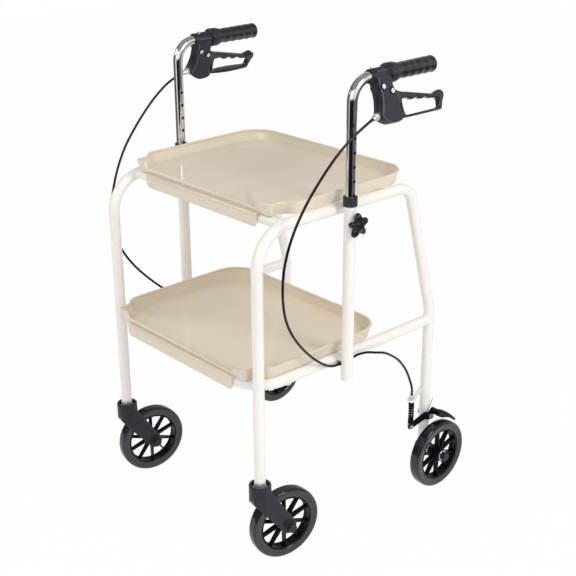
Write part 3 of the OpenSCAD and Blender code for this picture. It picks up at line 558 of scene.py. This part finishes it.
def trayStations():
    # half the plan from the middle of the rear edge to the front, then its mirror image
    w, back = tray["halfWidth"], tray["front"] + tray["length"]
    turnX = w - tray["turn"]
    lobe = np.array([turnX - tray["lobeIn"], tray["front"] + tray["lobe"]])
    flare = math.radians(tray["flare"])
    notch = lobe + (tray["lobe"] + tray["notch"]) * np.array([math.cos(flare), math.sin(flare)])
    turnY = notch[1] + math.sqrt((tray["turn"] + tray["notch"]) ** 2 - (notch[0] - turnX) ** 2)
    bend = math.degrees(math.atan2(notch[1] - turnY, notch[0] - turnX))
    rear = (w - tray["corner"], back - tray["corner"])
    steps = tray["arcSteps"]
    half = np.concatenate([planArc(rear, tray["corner"], 1, 90, 0, steps[0]),
                           planArc((turnX, turnY), tray["turn"], 1, 0, bend, steps[1]),
                           planArc(notch, tray["notch"], -1, bend + 180, 180 + tray["flare"], steps[2])[1:],
                           planArc(lobe, tray["lobe"], 1, tray["flare"], -90, steps[3])[1:]])
    high = np.full(len(half), tray["rim"])
    count = tray["fallSteps"]
    t = np.linspace(0, 1, count)
    fall = np.stack([tray["rimStop"] - tray["rimFall"] * t, np.full(count, tray["front"]),
                     np.zeros(count), -np.ones(count)], -1)
    half = np.concatenate([half, fall])
    high = np.concatenate([high, tray["rim"] + (tray["lip"] - tray["rim"]) * t * t * (3 - 2 * t)])
    other = half[::-1] * np.array([-1.0, 1.0, -1.0, 1.0])
    return np.concatenate([half, other]), np.concatenate([high, high[::-1]])


def trayShell():
    # the section's points stand out from each station, and caps over its two ends are the deck's faces
    stations, high = trayStations()
    section = smoothPath(tray["section"], tray["sectionSteps"])
    inset = np.array([tray["deckIn"], 0.0, 0.0])
    section = np.concatenate([[section[0] - inset], section, [section[-1] - inset]])
    out, rise, top = section.T
    plan = stations[None, :, :2] + out[:, None, None] * stations[None, :, 2:]
    height = rise[:, None] + top[:, None] * high[None, :]
    return np.concatenate([plan, height[..., None]], -1)


def trayApron():
    # the apron's section, a closed loop in side view, carried across with its lower corners rounded off
    half, c, hook, front = tray["apronHalf"], tray["apronCorner"], tray["hook"], tray["front"]
    bow = half - c + c * np.sin(np.linspace(0, np.pi / 2, tray["bendSteps"]))
    x = np.concatenate([-bow[::-1], bow])
    rise = c - np.sqrt(np.maximum(c * c - np.maximum(np.abs(x) - half + c, 0) ** 2, 0))
    low = rise - tray["apronDrop"]
    a = np.radians(np.linspace(180, 90, tray["bendSteps"]))
    fixed = [(0, 1.2), (front + 5, 1.2), (front + 3, 0.4), (front + 1.4, -1.2), (front + 0.3, -3.2),
             (front, -5.5)]
    foot = [(front, 1.8), (front + 0.5, 0.6), (front + 1.6, 0), (-hook - 1.1, 0), (-hook - 0.3, 0.4),
            (-hook, 1.4)]
    arc = hook * onCircle(a) - np.array([0.0, hook])
    outline = np.concatenate([fixed, foot, arc])
    moves = np.repeat([0.0, 1.0, 0.0], [len(fixed), len(foot), len(arc)])
    z = outline[None, :, 1] + moves[None, :] * low[:, None]
    return np.stack([*np.broadcast_arrays(x[:, None], outline[None, :, 0]), z], -1)


for name, (seatY, seatZ) in tray["seats"].items():
    shape = Shape()
    shape.solid(trayShell() + np.array([0, seatY, seatZ]))
    shape.solid(trayApron() + np.array([0, seatY, seatZ]))
    fit(shape, name + "_moulding", "beige_plastic", name, name)
print("trays made")

# grips: a flange, a body that flares a little with hollows for the fingers below, and a bevelled end
grip = {"start": 40.0, "length": 107.0, "radius": 15.0, "waves": 5, "hollow": 0.9, "flare": 0.6, "bore": 9.6,
        "bodyFrom": 7.0, "bodyTo": 6.0, "topShare": 0.25, "around": 72, "rows": 101}


def gripRings():
    # rings along y: a raised cosine sinks the radius for each finger, most of all on the underside
    r, end, count = grip["radius"], grip["length"], grip["around"]
    t = np.linspace(0, 1, grip["rows"])
    dip = (1 - np.cos(2 * np.pi * grip["waves"] * t)) / 2
    along = grip["bodyFrom"] + (end - grip["bodyFrom"] - grip["bodyTo"]) * t
    body = np.stack([r + grip["flare"] * t, along, dip], -1)
    flange = [(grip["bore"], 0.2), (r + 1.6, 0), (r + 2.3, 0.5), (r + 2.5, 1.2), (r + 2.5, 2.4),
              (r + 2, 3.3), (r + 0.9, 4.3), (r + 0.2, 5.6)]
    e = r + grip["flare"]
    tip = [(e, end - 4.8), (e - 0.2, end - 4.1), (e - 0.6, end - 3.4), (e - 3.2, end - 0.8),
           (e - 3.9, end - 0.2), (e - 5, end), (0.4, end)]
    profile = np.concatenate([[(*p, 0) for p in flange], body, [(*p, 0) for p in tip]])
    a = roundAngles(count)
    under = grip["topShare"] + (1 - grip["topShare"]) * (1 - np.sin(a)) / 2
    radius = profile[:, :1] - grip["hollow"] * profile[:, 2:] * under[None]
    return np.stack([cable["post"] + radius * np.cos(a), grip["start"] + np.repeat(profile[:, 1:2], count, 1),
                     cable["gripHeight"] + radius * np.sin(a)], -1)


shape = Shape()
shape.solid(gripRings())
fitPair(shape, "grip_sleeve", "grip_rubber", "handle", "grip")
print("grips made")

# brake housings: two rounded cheeks, a core between them and a turned clamp round the handle tube
housing = {
    "halfWidth": 13.0, "slotHalf": 6.3, "cheekLap": 0.2, "coreLap": 0.3, "edge": 2.2, "coreEdge": 0.3,
    "steps": 6, "clampAround": 64,
    # the outline that cheeks and core share, then the rest of each
    "front": [(-12, 0), (-11.3, -11), (-10, -27), (-10.3, -44), (-14.5, -61), (-18, -70), (-15, -77),
              (-6, -83), (5, -88), (14, -88.6), (24, -87.6), (31, -84.6)],
    "cheek": [(34, -79.5), (31, -72), (29.4, -62), (32, -51), (29.6, -40), (23.5, -27), (22.4, -14),
              (22.3, -2), (20.6, 5), (15, 7), (0, 7), (-8, 6.8), (-11.5, 3)],
    "core": [(33, -79.5), (29, -72), (24, -62), (12, -57), (3.5, -46), (3, -34), (4.5, -22), (12, -16),
             (20, -12), (20, 0), (15, 6), (-4, 6)],
    # radius, place along the grip
    "clamp": [(9.6, -20), (12.2, -20), (13.1, -19.5), (13.4, -18.5), (13.4, 21), (14.4, 21.6), (17.2, 22),
              (18.2, 22.6), (18.5, 23.6), (18.5, 38), (18.1, 39.1), (17.2, 39.6), (9.6, 39.7)],
    "pins": [(17.0, -32.5), (-3.0, -22.0)], "pinShadeRing": (5.2, 1.6), "ringOut": 0.2,
    "ringSteps": (40, 10)}


def pinShadeRing(face, y, z):
    # a torus round a pin, made near black as painted shade for the recess it sits in: small circles about a
    # larger one that lies on this face of the housing
    large, small = housing["pinShadeRing"]
    a, b = (roundAngles(count) for count in housing["ringSteps"])
    across = face * (housing["halfWidth"] + housing["ringOut"]) + small * np.sin(b)[:, None]
    reach = large + small * np.cos(b)[:, None]
    return np.stack([np.repeat(across, len(a), 1), y + reach * np.cos(a), z + reach * np.sin(a)], -1)


shape, pinShadeShape = Shape(), Shape()
wide, inner = housing["halfWidth"], housing["slotHalf"] - housing["cheekLap"]
core = housing["slotHalf"] + housing["coreLap"]
for outline, low, high, edge in (("cheek", inner, wide, housing["edge"]),
                                 ("cheek", -wide, -inner, housing["edge"]),
                                 ("core", -core, core, housing["coreEdge"])):
    rings = slabRings(closedSmooth(housing["front"] + housing[outline], housing["steps"]), low, high, edge)
    # the rounded edges of cheeks and core get painted sheen, a painted highlight along the crease
    shape.solid(placeBrake(acrossX(rings)), rubbedRows(rings))
shape.hoop(placeBrake(turned(housing["clamp"], housing["clampAround"])[..., [0, 2, 1]]))
# near-black rings round the pins: painted shade standing in for the recesses round them
for y, z in housing["pins"]:
    for face in (-1, 1):
        pinShadeShape.hoop(placeBrake(pinShadeRing(face, y, z)))
fitPair(pinShadeShape, "pin_shade_rings", "wheel_plastic", "handle", None)
fitPair(shape, "brake_body", "black_plastic", "handle", "brake_housing")
print("brake housings made")

# brake levers: a rounded bar carried round the loop between an outer and an inner outline
lever = {
    "round": 2.4, "roundShare": 0.45, "steps": 7, "corner": 5,
    # outer y z, inner y z, half thickness
    "loop": [(46, -36.8, 46.5, -50.5, 6), (60, -39.7, 60, -50.0, 6), (72, -42.2, 72, -55.2, 6),
             (84, -44.8, 84, -52.6, 6), (96, -47.3, 96, -58.0, 6), (108, -49.8, 108, -55.8, 6),
             (119, -52.2, 119, -60.6, 6), (128, -53.4, 127, -60.8, 6), (137, -51.4, 134, -62.2, 6.2),
             (147, -49.2, 138.5, -64.5, 6.4), (155, -54, 140.2, -67, 6.4), (155.4, -61, 140.4, -70, 6.0),
             (152, -66.5, 139.6, -73, 5.8), (148, -75, 138.4, -77.2, 5.6), (144.2, -83, 136.8, -79.6, 6),
             (139, -85.4, 133, -80.5, 6.6), (120, -85.3, 118, -80.6, 8.6), (95, -85.1, 95, -80.6, 10),
             (70, -84.9, 70, -80.5, 9.4), (48, -84.6, 52, -80.3, 7), (40.6, -83, 46.8, -78, 6),
             (38.4, -72, 44.4, -70, 6), (36.8, -57, 44, -60, 6), (30, -46.8, 44, -55.5, 6),
             (15, -40.2, 44.2, -53.7, 6), (9.2, -33, 44.4, -52.6, 6), (12.8, -26.2, 44.7, -51.8, 6),
             (20.5, -25.0, 45, -51.3, 6), (33, -31.4, 45.6, -50.9, 6)]}


def leverLoop():
    # at each step of the loop a rectangle from outer to inner outline, with its four corners as arcs
    loop = closedSmooth(lever["loop"], lever["steps"])
    outer, inner, half = loop[:, 0:2], loop[:, 2:4], loop[:, 4:5]
    span = np.linalg.norm(inner - outer, axis=1, keepdims=True)
    ahead = (inner - outer) / span
    r = np.minimum(lever["round"], lever["roundShare"] * span)
    a = np.radians(np.concatenate([np.linspace(s, s - 90, lever["corner"]) for s in (180, 90, 0, -90)]))
    far = np.repeat([0, 1, 1, 0], lever["corner"])[None]
    top = np.repeat([1, 1, -1, -1], lever["corner"])[None]
    d = np.where(far > 0, span - r, r) + r * np.cos(a)[None]
    n = top * (half - r) + r * np.sin(a)[None]
    flat = outer[:, None, :] + d[..., None] * ahead[:, None, :]
    return np.stack([n, flat[..., 0], flat[..., 1]], -1)


shape = Shape()
shape.hoop(placeBrake(leverLoop()))
fitPair(shape, "lever_loop", "knob_plastic", "lever", "brake_lever")
print("brake levers made")

# height knobs: a five-armed star, domed on top
knob = {
    "x": 264.5, "y": -61.0, "z": 663.5, "valley": 12.4, "tip": 24.0, "sharp": 0.95, "turn": 165.0,
    "arms": 5, "around": 120, "starFrom": 0.3, "starOver": 0.45,
    # share of the radius, distance out along the axis
    "dome": [(0.05, 0.2), (0.36, 0.2), (0.37, 2.4), (0.8, 2.6), (0.93, 3.2), (0.99, 4.6), (1.0, 7),
             (0.985, 9.5), (0.94, 11.6), (0.86, 13), (0.74, 13.8), (0.6, 14.1), (0.46, 14.4), (0.36, 15.2),
             (0.26, 15.8), (0.12, 16.1), (0.02, 16.1)]}


def knobRings():
    # the radius swells by a cosine to each arm's tip, fades to round near the axis, and follows the dome
    a = roundAngles(knob["around"])
    swell = ((1 + np.cos(knob["arms"] * (a - math.radians(knob["turn"])))) / 2) ** knob["sharp"]
    star = knob["valley"] + (knob["tip"] - knob["valley"]) * swell
    share, out = np.array(knob["dome"]).T
    starred = np.clip((share - knob["starFrom"]) / knob["starOver"], 0, 1)[:, None]
    radius = share[:, None] * (starred * star[None] + (1 - starred) * knob["tip"])
    return np.stack([np.repeat(knob["x"] + out[:, None], len(a), 1), knob["y"] + radius * np.cos(a),
                     knob["z"] + radius * np.sin(a)], -1)


shape = Shape()
shape.solid(knobRings())
fitPair(shape, "star_knob", "knob_plastic", "knob", "height_knob")
print("knobs made")

# post collars: one ribbed plastic sleeve on each post's mouth
collar = {"x": 250.5, "y": -61.0, "low": 696.0, "seat": 699.1, "high": 714.1, "outer": 13.5, "bore": 9.6,
          "skirt": 11.6, "ribs": 5, "depth": 0.45, "ribsFrom": 1.6, "ribsLess": 3.4, "around": 56, "rows": 61}


def collarProfile():
    # the ribs' radius falls by a raised cosine between the rounded ends
    o, low, high, bore = collar["outer"], collar["low"], collar["high"], collar["bore"]
    t = np.linspace(0, 1, collar["rows"])
    wall = o - collar["depth"] * (1 - np.cos(2 * np.pi * collar["ribs"] * t)) / 2
    body = np.stack([wall, low + collar["ribsFrom"] + (high - low - collar["ribsLess"]) * t], -1)
    foot = [(collar["skirt"], low), (o - 0.9, low), (o - 0.2, low + 0.4)]
    mouth = [(o - 0.2, high - 0.8), (o - 0.8, high - 0.2), (o - 1.8, high), (bore + 0.6, high),
             (bore, high - 0.6), (bore, collar["seat"]), (collar["skirt"], collar["seat"])]
    return np.concatenate([foot, body, mouth])


shape = Shape()
for sign in sides.values():
    shape.hoop(turned(collarProfile(), collar["around"]) + np.array([sign * collar["x"], collar["y"], 0.0]))
fit(shape, "collar_sleeves", "black_plastic", "frame", "post_collars")
print("collars made")

# caster forks: a round head cut off along the arms' outline, two flat arms out of it, and axle bosses
fork = {
    "leg": (220.0, -260.0), "swivel": 9.0, "head": 21.7, "top": 178.0, "recess": 16.0,
    "recessDepth": 8.0, "stemHole": 8.2, "under": (10.4, 13.0, 15.3), "pivot": (0.0, 148.0),
    "pivotRadius": 20.0, "axle": (53.5, 75.0), "axleRadius": 16.0, "armIn": 15.5, "armOut": 21.95,
    "cut": -1.0, "cutGap": 0.3, "softOver": 3.0, "boss": 13.0, "bossOut": 25.95, "bossAround": 48,
    "bossBore": 5.2, "bossLap": 0.5, "wheelRoom": 78.5, "edge": 1.7, "edgeSheen": 0.4, "around": 120,
    "loopSteps": 60}


def placeCaster(points, sign):
    # from the caster's own axes to the walker's: turned by the swivel about the leg's axis
    a = math.radians(fork["swivel"])
    x, y, z = points[..., 0], points[..., 1], points[..., 2]
    return np.stack([sign * fork["leg"][0] + x * math.cos(a) + y * math.sin(a),
                     fork["leg"][1] - x * math.sin(a) + y * math.cos(a), z], -1)


def forkFoot(y):
    # the arms' lower outline at y: the pivot's circle, then the tangent down to the axle's circle
    (y0, z0), (y1, z1) = fork["pivot"], fork["axle"]
    r, gap = fork["pivotRadius"], np.array([y1 - y0, z1 - z0])
    lean = math.atan2(gap[1], gap[0]) - math.acos((r - fork["axleRadius"]) / np.linalg.norm(gap))
    touch = np.array([y0 + r * math.cos(lean), z0 + r * math.sin(lean)])
    line = touch[1] - (y - touch[0]) * math.cos(lean) / math.sin(lean)
    circle = z0 - np.sqrt(np.maximum(r * r - (y - y0) ** 2, 0))
    return np.where(y < touch[0], circle, line)


def overWheel(y):
    # the height at y of the round room left for the wheel
    axleY, axleZ = fork["axle"]
    return axleZ + np.sqrt(fork["wheelRoom"] ** 2 - (y - axleY) ** 2)


def forkHead():
    # rings from the bore out over the underside, up the wall and down into the cup
    a = roundAngles(fork["around"])
    r, top, cup = fork["head"], fork["top"], fork["recess"]
    floor = top - fork["recessDepth"]
    rows = [(radius, np.maximum(forkFoot(radius * np.sin(a)), overWheel(radius * np.sin(a))))
            for radius in fork["under"]]
    y = r * np.sin(a)
    foot = np.where(y < 0, forkFoot(y), overWheel(y))
    rows += [(r - 1.6, foot), (r - 0.9, foot + 0.2), (r - 0.3, foot + 0.7), (r, foot + 1.6), (r, foot + 4.0),
             (r, top - 2.4), (r - 0.2, top - 1.1), (r - 0.8, top - 0.3), (r - 1.8, top), (cup + 1.2, top),
             (cup + 0.4, top - 0.3), (cup, top - 1.0), (cup, floor), (fork["stemHole"], floor)]
    return ringStack(rows, a)


def forkArmLoop():
    # the arms' outline behind the head's middle; its straight cut stays sharp and lies against the head
    loop = linkLoop(fork["pivot"], fork["pivotRadius"], fork["axle"], fork["axleRadius"], fork["loopSteps"])
    cut = fork["cut"]
    keep = loop[:, 0] > cut + fork["cutGap"]
    start = int(np.argmax(keep & ~np.roll(keep, 1)))
    part = np.roll(loop, -start, axis=0)[:int(keep.sum())]
    high = fork["pivot"][1] + math.sqrt(fork["pivotRadius"] ** 2 - cut ** 2)
    low = float(forkFoot(np.array(cut)))
    first, last = (low, high) if part[0, 1] < part[-1, 1] else (high, low)
    whole = np.concatenate([[[cut, first]], part, [[cut, last]]])
    soft = np.concatenate([[0.0], np.clip((part[:, 0] - cut) / fork["softOver"], 0, 1), [0.0]])
    return whole, soft


for side, sign in sides.items():
    shape = Shape()
    shape.grid(placeCaster(forkHead(), sign), closeCols=True)
    loop, soft = forkArmLoop()
    bossIn, bossOut, b = fork["armOut"] - fork["bossLap"], fork["bossOut"], fork["boss"]
    profile = [(b + 0.8, bossIn + 0.4), (b + 0.1, bossIn + 1.2), (b, bossOut - 1.4),
               (b - 0.4, bossOut - 0.5), (b - 1.3, bossOut), (fork["bossBore"], bossOut)]
    for way in (-1, 1):
        low, high = sorted((way * fork["armIn"], way * fork["armOut"]))
        rings = slabRings(loop, low, high, fork["edge"], soft=soft)
        # the arms' rounded edges get a weaker painted sheen, a painted highlight
        shape.solid(placeCaster(acrossX(rings), sign), fork["edgeSheen"] * rubbedRows(rings))
        boss = spunX([(r, way * x) for r, x in profile], fork["bossAround"], fork["axle"])
        shape.grid(placeCaster(boss, sign), closeCols=True)
    fit(shape, "fork_moulding_" + side, "black_plastic", "caster_" + side, "caster_fork_" + side)
print("forks made")

# tyres: a slightly crowned tread, a rounded shoulder and a sidewall with a raised bead at the rim
tyre = {
    "rear": (260.0, 210.0, 75.0), "around": 144, "steps": 3,
    # painted sheen: how much, where and over what width, from 0 at the rim to 1 at the tread's middle
    "wallSheen": (0.11, 0.66, 0.14), "ringSheens": [(0.16, 0.6, 0.07), (0.12, 0.18, 0.05)],
    # half of the section from the rim to the tread's middle: radius, half width
    "half": [(57.0, 9.7), (58.2, 10.7), (59.4, 11.0), (60.4, 10.8), (61.2, 10.9), (63.5, 11.5), (66, 11.9),
             (68.6, 12.0), (70.9, 11.7), (72.7, 10.8), (73.9, 9.4), (74.6, 7.6), (74.9, 5.2), (75.0, 2.0)]}


def tyreRings(at):
    # the half section and its mirror image, turned about the axle
    half = smoothPath(tyre["half"], tyre["steps"])
    profile = np.concatenate([half, half[::-1] * np.array([1.0, -1.0])])
    return spunX(profile, tyre["around"], at)


def tyreSheen(rows):
    # painted sheen: dark tread and a sidewall painted greyer, with a bell curve of painted highlight each at
    # the shoulder and at the bead, on both sides
    k = np.minimum(np.arange(rows), rows - 1 - np.arange(rows)) / (rows / 2)
    share, at, over = tyre["wallSheen"]
    rubbed = share * np.clip((at - k) / over, 0, 1)
    for share, at, over in tyre["ringSheens"]:
        rubbed = rubbed + share * np.exp(-((k - at) / over) ** 2)
    return rubbed


for side, sign in sides.items():
    rear = tyreRings(tyre["rear"][1:]) + np.array([sign * tyre["rear"][0], 0.0, 0.0])
    front = placeCaster(tyreRings(fork["axle"]), sign)
    for where, rings in (("rear", rear), ("front", front)):
        shape = Shape()
        shape.hoop(rings, tyreSheen(len(rings)))
        fit(shape, where + "_tread_" + side, "tyre_rubber", where + "_wheel_" + side,
            where + "_tyre_" + side)
print("tyres made")

# brake arms: a flat rounded lever, a bridge across to the wheel and a shoe that follows the tyre
brake = {
    "plate": (234.5, 238.5), "shoe": (249.0, 260.0), "edge": 0.9, "shoeEdge": 1.3,
    "wheel": (210.0, 75.0), "inner": 80.6, "from": 45.0, "to": 78.7, "arcSteps": 13, "steps": 4,
    "bridge": (217.0, 167.0), "bridgeRadius": 7.0, "bridgeAround": 40, "setIn": 0.08, "bridgeIn": 0.3,
    "links": [((148, 153), 6.5, (193, 163), 8.0), ((193, 163), 8.0, (210, 156), 8.5),
              ((210, 156), 8.5, (217, 167), 7.0)],
    # the shoe's back, from behind the bridge over it to the tip
    "back": [(214, 160.6), (210.6, 164.5), (210.6, 169.4), (213.2, 172.9), (217, 174), (224, 172.4),
             (232, 168.2), (242, 161.2), (253, 152), (262, 143.2), (268.6, 135.6)]}


def shoeLoop():
    # the inner arc lies about the wheel, the back arches over the bridge and thins out to the tip
    a = np.radians(np.linspace(brake["from"], brake["to"], brake["arcSteps"]))
    inner = np.array(brake["wheel"]) + brake["inner"] * onCircle(a)
    return closedSmooth(np.concatenate([inner, brake["back"]]), brake["steps"])


def bridgeProfile():
    # a round bar across from the lever to the shoe: radius, x
    r, inset = brake["bridgeRadius"], brake["bridgeIn"]
    start, end = brake["plate"][0] + inset, brake["shoe"][1] - inset
    return [(0.5, start), (r - 1, start), (r - 0.3, start + 0.3), (r, start + 1), (r, end - 1.3),
            (r - 0.4, end - 0.4), (r - 1.3, end), (0.5, end)]


shape = Shape()
# the links overlap, so each is set in a little from the one before
for step, link in enumerate(brake["links"]):
    low, high = brake["plate"][0] + brake["setIn"] * step, brake["plate"][1] - brake["setIn"] * step
    shape.solid(acrossX(slabRings(linkLoop(*link), low, high, brake["edge"])))
shape.solid(acrossX(slabRings(shoeLoop(), *brake["shoe"], brake["shoeEdge"])))
shape.solid(spunX(bridgeProfile(), brake["bridgeAround"], brake["bridge"]))
fitPair(shape, "brake_shoe_arm", "black_steel", "brake_arm", "brake_arm")
print("brake arms made")

# caster nuts: a washer in the fork's cup and a hexagon nut that reaches up round the leg's end
nut = {"washer": (14.0, 170.3, 172.3), "hex": 12.8, "low": 172.3, "high": 186.0, "bore": 11.1, "stem": 8.0,
       "foot": 140.4, "bevel": (12.0, 11.7), "around": 96}


def nutRings():
    # the hexagon's radius at each angle is its flat's distance over the cosine from the flat's middle
    a = roundAngles(nut["around"])
    flat = nut["hex"] * math.cos(math.pi / 6) / np.cos((a + math.pi / 6) % (math.pi / 3) - math.pi / 6)
    low, high = nut["low"], nut["high"]
    wr, w0, w1 = nut["washer"]
    b0, b1 = nut["bevel"]
    rows = [(nut["stem"], nut["foot"]), (nut["stem"], w0), (wr - 0.3, w0), (wr, w0 + 0.4), (wr, w1 - 0.4),
            (wr - 0.3, w1), (flat - 0.6, low), (flat, low + 0.7), (flat, high - 1.2),
            (np.minimum(flat, b0), high - 0.4), (np.minimum(flat, b1), high), (nut["bore"], high),
            (nut["bore"], low)]
    return ringStack(rows, a)


shape = Shape()
for sign in sides.values():
    shape.grid(placeCaster(nutRings(), sign), closeCols=True, capFirst=True)
fit(shape, "caster_nuts", "silver_steel", "frame", "caster_stems")

# axle washers: one bright washer with rounded edges outside each rear hub
washer = {"x": 275.1, "radius": 11.4, "bore": 5.1, "thick": 2.2, "axle": (210.0, 75.0), "around": 48}
shape = Shape()
x0, x1, r = washer["x"], washer["x"] + washer["thick"], washer["radius"]
profile = [(washer["bore"], x0), (r - 0.4, x0), (r, x0 + 0.5), (r, x1 - 0.6), (r - 0.5, x1),
           (washer["bore"], x1)]
for sign in sides.values():
    shape.hoop(mirrored(spunX(profile, washer["around"], washer["axle"]), sign))
fit(shape, "bright_washers", "silver_steel", "frame", "axle_washers")

# cable brackets: a narrow rounded strap from the rear leg out to the cable's end
bracket = {
    "low": 214.0, "high": 218.0, "edge": 1.0, "steps": 5,
    "plan": [(229.5, 141), (236.5, 139.6), (243.5, 141), (245, 148), (242, 156), (236.5, 164), (229.5, 180),
             (222.5, 196), (219, 203), (211, 203.5), (213.5, 193), (220.5, 177), (227, 162), (228.4, 156),
             (228, 148)]}
shape = Shape()
strap = closedSmooth(bracket["plan"], bracket["steps"])
for sign in sides.values():
    shape.solid(mirrored(slabRings(strap, bracket["low"], bracket["high"], bracket["edge"]), sign))
fit(shape, "bracket_straps", "ivory_paint", "frame", "cable_brackets")
print("nuts, washers and brackets made")

# weld beads: thin rounded rings along the lines where one tube meets another
weld = {
    "rail": 220.0, "tube": 11.0, "cross": 9.5, "railHeight": 684.0, "lowHeight": 379.0, "flush": 1.5,
    "rearCross": 66.0, "lowCross": 1.0, "rearLeg": 210.0, "bend": (-187.0, 611.0, 73.0),
    "frontCross": (-200.0, 684.33), "post": (250.5, -61.0, 11.5), "stub": 6.0, "lowStub": 383.0,
    "bead": 1.5, "ripple": 0.1, "ripples": 9, "around": 10, "steps": 72}


def beadRings(line, radius):
    # a small rippled circle carried round a closed line, with one of its axes away from the line's middle
    t = unitRows(np.roll(line, -1, axis=0) - np.roll(line, 1, axis=0))
    u = line - line.mean(0)
    u = unitRows(u - t * np.sum(u * t, 1, keepdims=True))
    wave = 1 + weld["ripple"] * np.sin(np.arange(len(line)) * 2 * np.pi * weld["ripples"] / len(line))
    return ringsAbout(line, radius * wave[:, None, None], u, np.cross(t, u), weld["around"])


def beadLines():
    # closed lines on the left side, each where one tube's circle meets another tube
    a = roundAngles(weld["steps"])
    tube, x0, c = weld["tube"], weld["rail"], weld["cross"]
    lines = []
    # cross tubes against the straight rails: x from the circle of the rail at each height
    for y, rail in ((weld["rearCross"], weld["railHeight"]), (weld["lowCross"], weld["lowHeight"])):
        z = rail + weld["flush"] + c * np.sin(a)
        x = x0 - np.sqrt(np.maximum(tube ** 2 - (z - rail) ** 2, 0))
        lines.append(np.stack([x, y + c * np.cos(a), z], -1))
    # the front cross tube against the front bend: the same circle, counted from the bend's middle line
    y, z = weld["frontCross"][0] + c * np.cos(a), weld["frontCross"][1] + c * np.sin(a)
    off = np.hypot(y - weld["bend"][0], z - weld["bend"][1]) - weld["bend"][2]
    lines.append(np.stack([x0 - np.sqrt(np.maximum(tube ** 2 - off ** 2, 0)), y, z], -1))
    # the lower rail against the rear leg: two tubes of one size
    x, rise = x0 + tube * np.cos(a), tube * np.sin(a)
    lines.append(np.stack([x, weld["rearLeg"] - np.abs(rise), weld["lowHeight"] + rise], -1))
    # stubs between the rails and the handle post
    px, py, pr = weld["post"]
    for z0, rail in ((weld["railHeight"], weld["railHeight"]), (weld["lowStub"], weld["lowHeight"])):
        y, z = py + weld["stub"] * np.cos(a), z0 + weld["stub"] * np.sin(a)
        lines.append(np.stack([px - np.sqrt(pr ** 2 - (y - py) ** 2), y, z], -1))
        lines.append(np.stack([x0 + np.sqrt(tube ** 2 - (z - rail) ** 2), y, z], -1))
    return lines


shape = Shape()
for line in beadLines():
    for sign in sides.values():
        shape.hoop(mirrored(beadRings(line, weld["bead"]), sign))
fit(shape, "weld_beads", "ivory_paint", "frame", None)
print("weld beads made")

# studio: distances in metres, levels as shares of white, powers in watts
studio = {
    "worldLevel": 0.62, "floorHalf": 6.0, "floorTone": 0.9, "floorRoughness": 0.9, "floorGlow": 0.98,
    "aim": (0.0, 0.0, 0.5), "screenSteps": 25,
    # place, width, power
    "lamps": {"key": ((2.4, 0.2, 2.2), 0.95, 32.0), "front": ((1.1, -2.4, 1.9), 1.2, 12.5),
              "fill": ((-1.6, -1.6, 1.9), 0.8, 8.0)},
    # from and to in degrees, level, then radius and height of the lower and of the upper edge
    "screens": {"dark_screen": (-88.0, -15.0, 0.012, (1.2, 0.0), (1.2, 0.8)),
                "dusk_screen": (-88.0, -15.0, 0.09, (1.2, 0.8), (1.2, 0.92)),
                "grey_screen": (-15.0, 60.0, 0.16, (1.2, 0.0), (1.2, 0.8)),
                "back_screen": (80.0, 165.0, 0.5, (2.6, 0.0), (2.6, 2.4)),
                "left_screen": (165.0, 251.0, 0.15, (2.6, 0.0), (2.6, 3.4)),
                "ceiling": (-180.0, 180.0, 0.35, (3.6, 3.4), (0.01, 3.4))}}


def seenRays(start):
    # 1 for rays from the camera, off shiny surfaces or through glass, and 0 for rays off matt ones
    camera, shiny, through = (start.node("LightPath", out="Is %s Ray" % kind)
                              for kind in ("Camera", "Glossy", "Transmission"))
    return start.math("MINIMUM", camera + shiny + through, 1.0)


def makeWorld():
    # white to the camera and in reflections, and dimmer as light on matt surfaces
    scene = bpy.context.scene
    scene.view_settings.view_transform = "Standard"
    scene.world = bpy.data.worlds.new("studio")
    scene.world.use_nodes = True
    tree = scene.world.node_tree
    back = tree.nodes["Background"]
    start = Shade(tree, back.outputs[0])
    level = studio["worldLevel"]
    start.feed(back.inputs["Color"], (1.0, 1.0, 1.0, 1.0))
    start.feed(back.inputs["Strength"], seenRays(start) * (1 - level) + level)


def makeFloor():
    # matt as light falls on it, and almost plain white to the camera and in reflections
    material, matt, start = newSurface("studio_floor")
    tone, half = studio["floorTone"], studio["floorHalf"]
    start.feed(matt.inputs["Base Color"], (tone, tone, tone, 1.0))
    start.feed(matt.inputs["Roughness"], studio["floorRoughness"])
    glow = start.node("Emission", {"Color": (1.0, 1.0, 1.0, 1.0), "Strength": 1.0})
    both = start.node("MixShader", {0: seenRays(start) * studio["floorGlow"], 1: start, 2: glow})
    start.feed(start.tree.nodes["Material Output"].inputs[0], both)
    corners = [(-half, -half, 0), (half, -half, 0), (half, half, 0), (-half, half, 0)]
    addMesh("studio_floor", corners, [(0, 1, 2, 3)], material, soft=False)


def makeScreens():
    # curved strips about the walker that only shiny surfaces see
    count = studio["screenSteps"]
    for name, (start, end, level, *edges) in studio["screens"].items():
        rows = ringStack(edges, np.radians(np.linspace(start, end, count)))
        material, _, out = newSurface(name)
        glow = out.node("Emission", {"Color": (level, level, level, 1.0), "Strength": 1.0})
        out.feed(out.tree.nodes["Material Output"].inputs[0], glow)
        screen = addMesh(name, rows, gridFaces(2, count), material)
        for ray in ("camera", "diffuse", "shadow", "transmission", "volume_scatter"):
            setattr(screen, "visible_" + ray, False)


def makeLamps():
    # square lamps that all point at one place on the walker
    for name, (place, wide, power) in studio["lamps"].items():
        data = bpy.data.lights.new(name, "AREA")
        data.size, data.energy = wide, power
        lamp = bpy.data.objects.new(name, data)
        lamp.location = place
        aim = np.array(studio["aim"]) - np.array(place)
        flat = math.hypot(aim[0], aim[1])
        lamp.rotation_euler = (math.atan2(flat, -aim[2]), 0.0, math.atan2(aim[1], aim[0]) - math.pi / 2)
        bpy.context.scene.collection.objects.link(lamp)


makeWorld()
makeFloor()
makeScreens()
makeLamps()
print("studio made")
